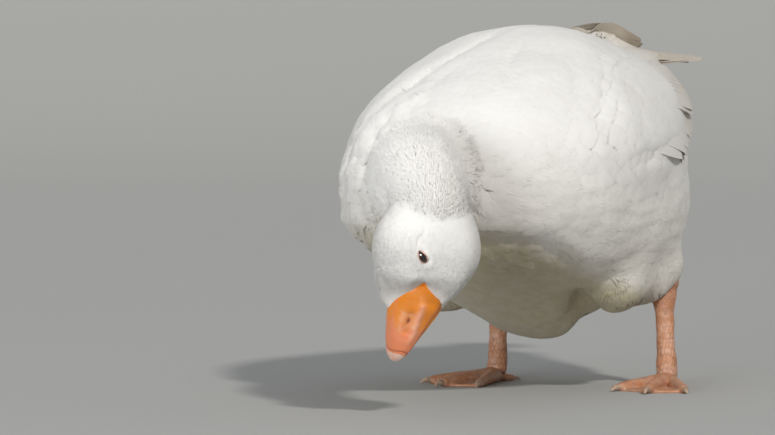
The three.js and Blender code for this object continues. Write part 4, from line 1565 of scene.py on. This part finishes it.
def make_shank(place, skin):
    """The bare shank: six-sided scales, with folds at the hock and a knuckle at each end."""
    rows, columns = 190, 84
    line = np.array(SHANK_PATHS[place]) * MM
    points, faces, share, angle = tube(line, np.array(SHANK_RADII) * MM, rows, columns, 1.0, 6.0)
    share = np.concatenate([[0], np.repeat(share[1:-1], columns), [1]])
    angle = np.concatenate([[0], np.tile(angle, rows), [0]])
    warp = ripple(points, 0.012, 21) * 2.6
    scales = hex_cells(angle / (2 * np.pi) * SHANK_GIRTH + warp, share * SHANK_LENGTH / MM + warp,
                       SHANK_GIRTH / SCALES_ROUND)
    out = unit(points - along(line, share))
    folds = np.sin(share * 150 + 1.5 * np.sin(angle * 2)) * hump(share, 0.2, 0.07)
    knuckle = 1.4 * hump(share, 0.14, 0.09) + 0.9 * hump(share, 0.93, 0.08)
    ends = ramp(0, 0.03, share) * ramp(1.0, 0.97, share)
    rise = 0.55 * ramp(0, 0.6, scales) + 0.45 * folds + knuckle
    rise = (rise + ripple(points, 0.011, 3) * 1.1) * ends
    shank = outward(mesh_object("leg_" + place, points + out * (rise * MM)[:, None], faces))
    add_values(shank.data, scale_top=np.clip(scales - 0.5 * np.maximum(-folds, 0), 0, 1))
    shank.data.materials.append(skin)
    finish_piece(shank, ("shank_" + place,))


def foot_ways(place):
    """Where the foot's middle stands and the direction of each toe on the floor."""
    middle = np.array((*SHANK_PATHS[place][-1][:2], 0)) * MM
    h = math.radians(FOOT_HEADINGS[place])
    ways = []
    for name, turn, length, girth in TOES:
        a = math.radians(turn)
        x, y = math.sin(a), -math.cos(a)
        way = np.array((x * math.cos(h) - y * math.sin(h), x * math.sin(h) + y * math.cos(h), 0))
        ways.append((name, way, length, girth))
    return middle, ways


def toe_bands(points, place):
    """How far each point lies on a toe, and 1 on the bands across the toes and 0 between them."""
    middle, ways = foot_ways(place)
    on_toe = np.zeros(len(points))
    bands = np.ones(len(points))
    for _name, way, length, girth in ways:
        side_way = np.array((-way[1], way[0], 0))
        run, aside = (points - middle) @ way, (points - middle) @ side_way
        near = np.exp(-((aside / (girth * 1.15 * MM)) ** 4)) * (run > 2 * MM) * (run < (length + 4) * MM)
        wave = np.abs(np.mod(run / TOE_BAND + 0.25 * (aside / (girth * MM)) ** 2, 1) - 0.5) * 2
        bands = np.where(near > on_toe, ramp(0.0, 0.45, 1 - wave), bands)
        on_toe = np.maximum(on_toe, near)
    return on_toe, bands


def make_foot(place, cell, skin):
    """A webbed foot with banded toes, a grained and creased web, and a flat sole."""
    points, faces = node_shell("foot_" + place, 0.0)
    foot = outward(mesh_object("foot_skin_" + place, points, faces))
    mesh = remesh(foot, cell)
    blur = Blur(mesh)
    start = points_of(mesh)
    points = blur.run(start, 8)
    points[:, 2] = np.where(start[:, 2] < 0.6 * MM, start[:, 2], points[:, 2])
    set_points(mesh, points)
    normals = normals_of(mesh)
    height = np.clip(points[:, 2] / (3 * MM), 0, 1)
    on_toe, bands = toe_bands(points, place)
    grain = hex_cells(points[:, 0] / MM, points[:, 1] / MM, 2.2)
    middle, _ways = foot_ways(place)
    from_middle = np.hypot(points[:, 0] - middle[0], points[:, 1] - middle[1])
    creases = np.sin(from_middle / (5.0 * MM) * 2 * np.pi + ripple(points, 0.02, 4) * 5)
    web = 1 - on_toe
    tops = on_toe * bands + web * ramp(0, 0.5, grain)
    rise = (on_toe * 0.55 * bands + web * (0.18 * grain + 0.22 * creases)) * height
    points = points + normals * (rise * MM)[:, None]
    points[:, 2] = np.maximum(points[:, 2], np.minimum(start[:, 2], 0.2 * MM))
    set_points(mesh, points)
    add_values(mesh, scale_top=tops * height + 0.6 * (1 - height))
    mesh.materials.append(skin)
    finish_piece(foot, ("foot_" + place,))


def make_claws(place, horn):
    """The four claws of a foot as one piece, each curving down from the end of its toe."""
    middle, ways = foot_ways(place)
    shells = []
    for _name, way, length, girth in ways:
        thick = girth * 0.5
        line = [
            middle + way * ((length + at) * MM) + np.array((0, 0, high * thick * MM))
            for at, high, _radius in CLAW_STATIONS
        ]
        radii = np.array([radius for _at, _high, radius in CLAW_STATIONS]) * thick * MM
        points, faces = tube(line, radii, 16, 18, 1.0, 3.0)[:2]
        points[:, 2] = np.maximum(points[:, 2], 0.05 * MM)
        shells.append((points, faces))
    claws = outward(mesh_object("claws_" + place, *joined(shells)))
    claws.data.materials.append(horn)
    finish_piece(claws, [f"claw_{name}_{place}" for name, *_ in ways])


def make_legs(settings):
    """Scaled shanks, webbed feet with banded toes, and claws."""
    skin = leg_paint("leg skin", settings)
    horn = claw_paint("claw horn", settings)
    for place in SHANK_PATHS:
        make_shank(place, skin)
        make_foot(place, settings.foot_cell, skin)
        make_claws(place, horn)


# ------------------ long feathers

BLADE_ROWS, BLADE_COLUMNS = 26, 9


def blade_faces():
    """Faces of a thin closed blade: its top, its underside, and the strips along its edges and ends."""
    rows, columns = BLADE_ROWS, BLADE_COLUMNS
    under = rows * columns
    faces = []
    for r in range(rows - 1):
        for c in range(columns - 1):
            a, b = r * columns + c, (r + 1) * columns + c
            faces.append((a, b, b + 1, a + 1))
            faces.append((under + a, under + a + 1, under + b + 1, under + b))
        for c, flip in ((0, False), (columns - 1, True)):
            a, b = r * columns + c, (r + 1) * columns + c
            side = (a, under + a, under + b, b)
            faces.append(side[::-1] if flip else side)
    for r, flip in ((0, True), (rows - 1, False)):
        for c in range(columns - 1):
            a = r * columns + c
            side = (a, under + a, under + a + 1, a + 1)
            faces.append(side[::-1] if flip else side)
    return faces


def notched_edge(rng):
    """Width of each point of a blade, with a few small nicks in its edges."""
    notch = np.ones((BLADE_ROWS, BLADE_COLUMNS))
    for _ in range(3):
        r, edge = rng.integers(6, BLADE_ROWS - 3), rng.integers(0, 2) * (BLADE_COLUMNS - 1)
        notch[r, edge] -= rng.uniform(0.05, 0.16)
        notch[r, edge + (1 if edge == 0 else -1)] -= 0.03
    return notch


def long_feather(line, up, width, rng, thickness=0.7 * MM, camber=0.10, roll=0.0):
    """One stiff feather as a thin closed blade along a line, with its shaft raised and its edge notched."""
    t = np.linspace(0, 1, BLADE_ROWS)
    centre = along(line, t)
    forward = unit(np.gradient(centre, axis=0))
    up = unit(up - forward * (forward * up).sum(1, keepdims=True))
    across = np.cross(forward, up)
    sine, cosine = math.sin(math.radians(roll)), math.cos(math.radians(roll))
    across, up = across * cosine + up * sine, up * cosine - across * sine
    outline = table([(0, 0.30), (0.12, 0.62), (0.4, 0.95), (0.7, 1.0), (0.9, 0.78), (1, 0.22)], t)
    half = width / 2 * outline
    u = np.linspace(-1, 1, BLADE_COLUMNS)
    notch = notched_edge(rng)
    drape = -camber * width * (u**2)
    shaft = 0.5 * MM * np.exp(-((u / 0.16) ** 2))
    wave = 0.6 * MM * np.sin(t[:, None] * rng.uniform(5, 9) + rng.uniform(0, 6)) * u[None, :]
    top = (
        centre[:, None, :] + across[:, None, :] * (u[None, :] * half[:, None] * notch)[:, :, None]
        + up[:, None, :] * (drape * outline[:, None] + shaft * (1 - t[:, None]) + wave)[:, :, None]
    )
    bottom = top - up[:, None, :] * (thickness * (1.02 - np.abs(u))[None, :, None] + 0.15 * MM)
    points = np.concatenate([top.reshape(-1, 3), bottom.reshape(-1, 3)])
    return points, blade_faces(), np.tile(u, 2 * BLADE_ROWS), np.tile(np.repeat(t, BLADE_COLUMNS), 2)


def feather_piece(name, feathers, material, replaced=()):
    """Joins long feathers into one piece, each with its own patch on the skin's map."""
    skin = bpy.data.objects["goose_skin"].data
    ground = surface_of(skin)
    chart = skin.uv_layers["OFBake"].data
    roots = []
    for points, _faces, _across, _lengthwise in feathers:
        nearest = ground.find_nearest(Vector(points[0]))[2]
        spot = chart[skin.polygons[nearest].loop_start].uv
        roots.append(np.tile((spot.x, spot.y), (len(points), 1)))
    obj = outward(mesh_object(name, *joined(feather[:2] for feather in feathers)))
    mesh = obj.data
    mesh.set_sharp_from_angle(angle=SHARP_ANGLE)
    across, lengthwise = (np.concatenate(values) for values in list(zip(*feathers))[2:])
    add_values(mesh, across=across, along=lengthwise)
    patch = np.concatenate(roots) + np.stack([across / 2, lengthwise - 0.5], 1) * PATCH
    corners = values_of(mesh.loops, "vertex_index", 1, np.int32).ravel()
    mesh.uv_layers.new(name="OFBake").data.foreach_set("uv", patch[corners].astype(np.float32).ravel())
    mesh.materials.append(material)
    return finish_piece(obj, replaced)


# Edges of the folded wings in millimetres, front to tip. The right one is drawn mirrored.
WING_SHIFT = np.array((-11.77, 11.04, 0))
WING_EDGES = {
    "left": (
        [(104, -130, 212), (126, -66, 194), (140, 14, 192), (128, 90, 204), (103, 150, 220), (84, 205, 237),
         (62, 262, 258)],
        [(90, -134, 234), (94, -74, 284), (74, 0, 320), (56, 78, 330), (45, 150, 316), (41, 212, 301),
         (44, 268, 288)],
    ),
    "right": (
        [(104, -130, 212), (126, -66, 194), (140, 14, 192), (128, 90, 204), (103, 150, 222), (78, 208, 248),
         (44, 282, 290)],
        [(90, -134, 234), (94, -74, 284), (74, 0, 320), (56, 78, 330), (30, 150, 345), (6, 215, 352),
         (-4, 284, 336)],
    ),
}


def wing_place(place, t, s):
    """Points on a folded wing's outer face: t from the wrist to the tip, s from its lower edge up."""
    lower, upper = (along(np.array(edge, float), t) for edge in WING_EDGES[place])
    chord = upper - lower
    outward_way = unit(np.stack([chord[:, 2], 0 * t, -chord[:, 0]], 1))
    arch = 1 - (2 * s - 1) ** 2
    rise = table([(0, 6), (0.15, 16), (0.5, 26), (0.75, 22), (1, 6)], t) * arch
    rise = rise + table([(0, 8), (0.2, 13), (0.6, 15), (0.85, 12), (1, 8)], t) * np.sqrt(np.clip(arch, 0, 1))
    points = lower + chord * s[:, None] + outward_way * rise[:, None]
    mirror = np.array((SIDES[place], 1, 1))
    return (points * mirror + WING_SHIFT) * MM, outward_way * mirror


def wing_feather(skin, place, start, stop, from_s, to_s, height, width, rng, over=6.2, **shape):
    """One long feather laid over the wing's coat, from one place on the wing to another."""
    t = np.linspace(start, min(stop, 1.0), 7)
    s = from_s + (to_s - from_s) * np.linspace(0, 1, 7) ** 1.3
    line, up = wing_place(place, t, np.clip(s, 0.02, 0.98))
    if stop > 1.0:
        ahead = unit(line[-1] - line[-2])
        line = np.concatenate([line, [line[-1] + ahead * (stop - 1.0) * 0.4]])
        up = np.concatenate([up, up[-1:]])
    levels = (-6 + (height + 6) * np.linspace(0, 1, len(line)) ** 0.6) * MM
    raised = line + up * levels[:, None]
    laid = []
    for point, free, level in zip(line, raised, levels):
        ground, normal, _face, gap = skin.find_nearest(Vector(point))
        on_coat = np.array(ground) + np.array(normal) * (level + over * MM)
        loose = ramp(11 * MM, 22 * MM, gap)
        laid.append(on_coat * (1 - loose) + free * loose)
    line = along(np.array(laid), np.linspace(0, 1, len(laid)))
    rows, stations = np.linspace(0, 1, BLADE_ROWS), np.linspace(0, 1, len(up))
    up_rows = np.stack([np.interp(rows, stations, up[:, k]) for k in range(3)], 1)
    return long_feather(line, up_rows, width, rng, **shape)


def wing_feathers(skin, place, rng):
    """Primaries, secondaries along the lower edge, tertials, and on the right loose ones over the rear."""
    feathers = []
    for i in range(5):
        feathers.append(wing_feather(
            skin, place, 0.50 + 0.03 * i, 1.0 + 0.10 * (4 - i) / 4, 0.30 + 0.04 * i, 0.12 + 0.13 * i,
            -1.0 + 0.5 * i, 26 * MM, rng))
    for i in range(9):
        k = i / 8
        start = 0.30 + 0.34 * k
        feathers.append(wing_feather(
            skin, place, start, start + 0.34, 0.30 + 0.16 * k, 0.05 + 0.22 * k,
            0.8 + 0.3 * (i % 2), 40 * MM, rng, over=5.2, camber=0.12, roll=rng.uniform(-2, 2)))
    for i in range(8):
        k = i / 7
        start = 0.40 + 0.12 * k
        feathers.append(wing_feather(
            skin, place, start, start + 0.44 + 0.06 * rng.uniform(-1, 1), 0.50 + 0.22 * k, 0.36 + 0.36 * k,
            2.6 + 0.4 * i, 34 * MM, rng, camber=0.06, roll=rng.uniform(-4, 4)))
    for i in range(12 if place == "right" else 0):
        start = 0.62 + 0.011 * i
        feathers.append(wing_feather(
            skin, place, start, start + rng.uniform(0.28, 0.36), 0.55 + 0.032 * i, 0.42 + 0.045 * i,
            rng.uniform(2.5, 8.5), 23 * MM, rng, camber=0.12, roll=rng.uniform(-22, 22)))
    return feathers


def make_wing_feathers(settings):
    """The long feathers along the lower and rear edges of the folded wings, and those over the rump."""
    quill = quill_paint("long feathers", settings)
    skin = surface_of(bpy.data.objects["goose_skin"].data)
    for seed, place in enumerate(SIDES):
        feathers = wing_feathers(skin, place, np.random.default_rng(300 + seed))
        feather_piece("wing_feathers_" + place, feathers, quill)


TAIL_ROOT = np.array((-11.77, 261.04, 320)) * MM
# Layers of the tail: feathers, length, spread in degrees, lift in degrees, width and height.
TAIL_LAYERS = [
    (18, 126, 15, 2.0, 27, 0.0), (14, 96, 15, 2.4, 26, 1.8),
    (14, 96, 15, 1.6, 26, -1.8), (10, 62, 15, 3.4, 25, 3.6),
]


def tail_feather(i, layer, rng):
    """One feather of the fan, arched a little and tilted to the side that it stands on."""
    count, reach, spread, lift, width, high = layer
    aside = 2 * i / (count - 1) - 1
    long = reach * (1 - 0.15 * aside**2) * rng.uniform(0.97, 1.01) * MM
    turn = -math.radians(spread * aside + rng.uniform(-1, 1))
    way = np.array((-math.sin(turn), math.cos(turn), math.sin(math.radians(lift))))
    stacked = high * (1 - 0.4 * aside**2) - 3 * aside**2 - 0.2 * abs(i - count // 2)
    base = TAIL_ROOT + np.array((15 * aside, 0, stacked)) * MM
    t = np.linspace(-0.22, 1, 6)
    arch = 2.5 * MM * np.sin(np.pi * np.clip(t, 0, 1))
    line = base + way * (t * long)[:, None] + np.array((0, 0, 1)) * arch[:, None]
    tilt = math.radians(7 * aside)
    up = np.tile((math.sin(tilt) * 0.8, 0, math.cos(tilt)), (BLADE_ROWS, 1))
    return long_feather(line, up, width * MM, rng, 0.8 * MM, 0.12, roll=rng.uniform(-4, 4))


def make_tail(settings):
    """A low fan of stiff tail feathers with shorter ones over and under their roots."""
    quill = quill_paint("tail feathers", settings)
    rng = np.random.default_rng(400)
    feathers = [tail_feather(i, layer, rng) for layer in TAIL_LAYERS for i in range(layer[0])]
    feather_piece("tail_feathers", feathers, quill, ("tail",))


# ------------------ stage

FLOOR_RADIUS = 7.0
WALL_BEND = 4.5  # radius of the curve by which the floor rises into the wall
LAMPS_AIM_AT = (0, 0, 0.2)
CAMERA_PLACE = (1.82615, -3.70057, 0.3125)
CAMERA_LOOKS_DOWN, CAMERA_LOOKS_LEFT = 2.028, 28  # degrees


def lamp(name, kind, place, energy, size, color):
    """A light aimed at the goose; `size` is an angle for a sun and a width for an area light."""
    light = bpy.data.lights.new(name, kind)
    light.energy = energy
    light.color = color
    if kind == "AREA":
        light.size = size
    else:
        light.angle = size
    obj = new_object(name, light)
    obj.location = place
    obj.rotation_euler = (Vector(LAMPS_AIM_AT) - Vector(place)).to_track_quat("-Z", "Y").to_euler()


def make_floor(settings):
    """A round floor that curves up into a wall all round."""
    profile = [(FLOOR_RADIUS, 0.0)]
    for i in range(1, 15):
        a = math.pi / 2 * i / 14
        profile.append((FLOOR_RADIUS + WALL_BEND * math.sin(a), WALL_BEND * (1 - math.cos(a))))
    turns = 96
    points = [(0, 0, 0)] + [
        (r * math.cos(2 * math.pi * k / turns), r * math.sin(2 * math.pi * k / turns), z)
        for r, z in profile for k in range(turns)
    ]
    faces = [(0, 1 + k, 1 + (k + 1) % turns) for k in range(turns)]
    for i in range(len(profile) - 1):
        low, high = 1 + i * turns, 1 + (i + 1) * turns
        faces += [(low + k, high + k, high + (k + 1) % turns, low + (k + 1) % turns) for k in range(turns)]
    floor = mesh_object("floor", points, faces)
    floor.data.materials.append(stage_paint("studio floor", settings.floor))


def make_lights(settings):
    """Soft light from all round, a key light from the bird's left, and a low fill from the front."""
    world = bpy.data.worlds.new("studio")
    world.use_nodes = True
    background = world.node_tree.nodes["Background"]
    background.inputs["Color"].default_value = (*settings.sky, 1)
    background.inputs["Strength"].default_value = settings.sky_strength
    bpy.context.scene.world = world
    lamp("sun", "SUN", (3.2, -2.4, 3.4), settings.sun_strength, math.radians(5), (1.0, 0.97, 0.93))
    lamp("fill", "AREA", (0.35, -3.85, 0.22), 104, 1.2, (0.95, 0.97, 1.0))


def make_camera(settings):
    lens = bpy.data.cameras.new("camera")
    lens.lens = settings.lens
    lens.sensor_width = 36
    camera = new_object("camera", lens)
    camera.location = CAMERA_PLACE
    camera.rotation_euler = (math.radians(90 - CAMERA_LOOKS_DOWN), 0, math.radians(CAMERA_LOOKS_LEFT))
    bpy.context.scene.camera = camera


def make_stage(settings):
    """The studio: floor, lights and camera."""
    make_floor(settings)
    make_lights(settings)
    make_camera(settings)
    bpy.context.scene.view_settings.view_transform = "Standard"


# ------------------ settings, operators and panel

def color_property(name, value, text):
    return bpy.props.FloatVectorProperty(
        name=name, description=text, subtype="COLOR", size=3, min=0, max=1, default=value
    )


def length_property(name, value, text):
    return bpy.props.FloatProperty(
        name=name, description=text, unit="LENGTH", subtype="DISTANCE", default=value, min=0
    )


def number_property(name, value, text, **more):
    return bpy.props.FloatProperty(name=name, description=text, default=value, **more)


class GooseColors(bpy.types.PropertyGroup):
    """Colours of the goose and its stage"""
    white: color_property("Plumage white", (0.88, 0.862, 0.825), "Clean plumage")
    # Besides feather bases and patches, this colour is the painted shade towards the bottom of the body.
    shade: color_property("Plumage shade", (0.74, 0.715, 0.665), "Feather bases and worn patches")
    # Partly the tail's tint and partly painted shade, darkened for the tail and the long feathers.
    cream: color_property("Cream", (0.61, 0.535, 0.435), "Tint of the tail and the long feathers")
    # Partly a stain and partly painted shade, laid on the low plumage, the thighs and the belly.
    dingy: color_property("Dingy", (0.40, 0.35, 0.22), "Stained plumage underneath")
    bill_orange: color_property("Bill orange", (0.90, 0.27, 0.012), "Base of the bill")
    bill_salmon: color_property("Bill salmon", (0.86, 0.27, 0.12), "Sides and tip of the bill")
    # Partly wear, partly painted highlight along the ridge.
    bill_pale: color_property("Bill pale", (0.93, 0.52, 0.34), "Worn streaks on the bill")
    # Painted shade in the nostrils, the nasal hollows, the groove behind the nail and along the mouth.
    bill_dark: color_property("Bill dark", (0.28, 0.07, 0.035), "Nostrils and the line of the mouth")
    nail: color_property("Nail", (0.80, 0.58, 0.47), "Hard tip of the bill")
    leg: color_property("Leg", (0.52, 0.235, 0.12), "Leg and foot skin")
    leg_pale: color_property("Leg pale", (0.68, 0.38, 0.25), "Worn leg scales")
    leg_dark: color_property("Leg dark", (0.20, 0.10, 0.06), "Creases between scales")
    claw: color_property("Claw", (0.50, 0.36, 0.25), "Claw horn")
    iris: color_property("Iris", (0.055, 0.022, 0.010), "Iris")
    iris_dark: color_property("Iris edge", (0.018, 0.008, 0.005), "Rim and rays of the iris")
    pupil: color_property("Pupil", (0.002, 0.002, 0.002), "Pupil")
    lid: color_property("Eyelid", (0.56, 0.33, 0.26), "Bare ring round the eye")
    lid_pale: color_property("Eyelid pale", (0.80, 0.61, 0.52), "Worn edge of the eyelid")
    floor: color_property("Floor", (0.47, 0.47, 0.455), "Studio floor")
    sky: color_property("Studio light", (0.93, 0.96, 1.0), "Soft light from all round")


class GooseSizes(bpy.types.PropertyGroup):
    """Sizes and strengths"""
    skin_cell: length_property("Skin cell", 0.0026, "Spacing of the skin's points")
    foot_cell: length_property("Foot cell", 0.0011, "Spacing of the feet's points")
    softness: number_property("Softness", 0.85, "Roughness of the plumage", min=0, max=1)
    lens: number_property("Lens", 200, "Focal length", unit="CAMERA")
    sky_strength: number_property("Soft light", 0.43, "Strength of the light all round")
    sun_strength: number_property("Key light", 1.5, "Strength of the key light")


class Settings:
    """The scene's colours and sizes, read from their two groups."""

    def __init__(self, scene):
        for group in (scene.goose_colors, scene.goose_sizes):
            for name in group.__annotations__:
                value = getattr(group, name)
                setattr(self, name, tuple(value) if hasattr(value, "__len__") else value)


class GOOSE_OT_skin(bpy.types.Operator):
    """Makes the goose's skin"""
    bl_idname = "goose.skin"
    bl_label = "Skin"

    def execute(self, context):
        make_skin(Settings(context.scene))
        return {"FINISHED"}


class GOOSE_OT_plumage(bpy.types.Operator):
    """Grows the small feathers over the skin"""
    bl_idname = "goose.plumage"
    bl_label = "Plumage"

    def execute(self, context):
        make_plumage(Settings(context.scene))
        return {"FINISHED"}


class GOOSE_OT_wing_feathers(bpy.types.Operator):
    """Lays the long feathers of both wings"""
    bl_idname = "goose.wing_feathers"
    bl_label = "Wing feathers"

    def execute(self, context):
        make_wing_feathers(Settings(context.scene))
        return {"FINISHED"}


class GOOSE_OT_tail(bpy.types.Operator):
    """Makes the tail fan"""
    bl_idname = "goose.tail"
    bl_label = "Tail"

    def execute(self, context):
        make_tail(Settings(context.scene))
        return {"FINISHED"}


class GOOSE_OT_bill(bpy.types.Operator):
    """Makes both halves of the bill and its nail"""
    bl_idname = "goose.bill"
    bl_label = "Bill"

    def execute(self, context):
        make_bill(Settings(context.scene))
        return {"FINISHED"}


class GOOSE_OT_eyes(bpy.types.Operator):
    """Makes the eyes and their lids"""
    bl_idname = "goose.eyes"
    bl_label = "Eyes"

    def execute(self, context):
        make_eyes(Settings(context.scene))
        return {"FINISHED"}


class GOOSE_OT_legs(bpy.types.Operator):
    """Makes the scaled legs, webbed feet and claws"""
    bl_idname = "goose.legs"
    bl_label = "Legs"

    def execute(self, context):
        make_legs(Settings(context.scene))
        return {"FINISHED"}


class GOOSE_OT_stage(bpy.types.Operator):
    """Sets out the floor, the lights and the camera"""
    bl_idname = "goose.stage"
    bl_label = "Stage"

    def execute(self, context):
        make_stage(Settings(context.scene))
        return {"FINISHED"}


OPERATORS = (
    GOOSE_OT_bill, GOOSE_OT_skin, GOOSE_OT_plumage, GOOSE_OT_wing_feathers, GOOSE_OT_tail,
    GOOSE_OT_eyes, GOOSE_OT_legs, GOOSE_OT_stage,
)


class GOOSE_PT_panel(bpy.types.Panel):
    bl_label = "Grazing goose"
    bl_space_type = "VIEW_3D"
    bl_region_type = "UI"
    bl_category = "Goose"

    def draw(self, context):
        for operator in OPERATORS:
            self.layout.operator(operator.bl_idname)
        for group in (context.scene.goose_sizes, context.scene.goose_colors):
            for name in group.__annotations__:
                self.layout.prop(group, name)


CLASSES = (GooseColors, GooseSizes, *OPERATORS, GOOSE_PT_panel)


def register():
    for item in CLASSES:
        bpy.utils.register_class(item)
    bpy.types.Scene.goose_colors = bpy.props.PointerProperty(type=GooseColors)
    bpy.types.Scene.goose_sizes = bpy.props.PointerProperty(type=GooseSizes)


def unregister():
    del bpy.types.Scene.goose_sizes
    del bpy.types.Scene.goose_colors
    for item in reversed(CLASSES):
        bpy.utils.unregister_class(item)


def main():
    register()
    for operator in OPERATORS:
        group, name = operator.bl_idname.split(".")
        getattr(getattr(bpy.ops, group), name)()


if __name__ == "__main__":
    main()
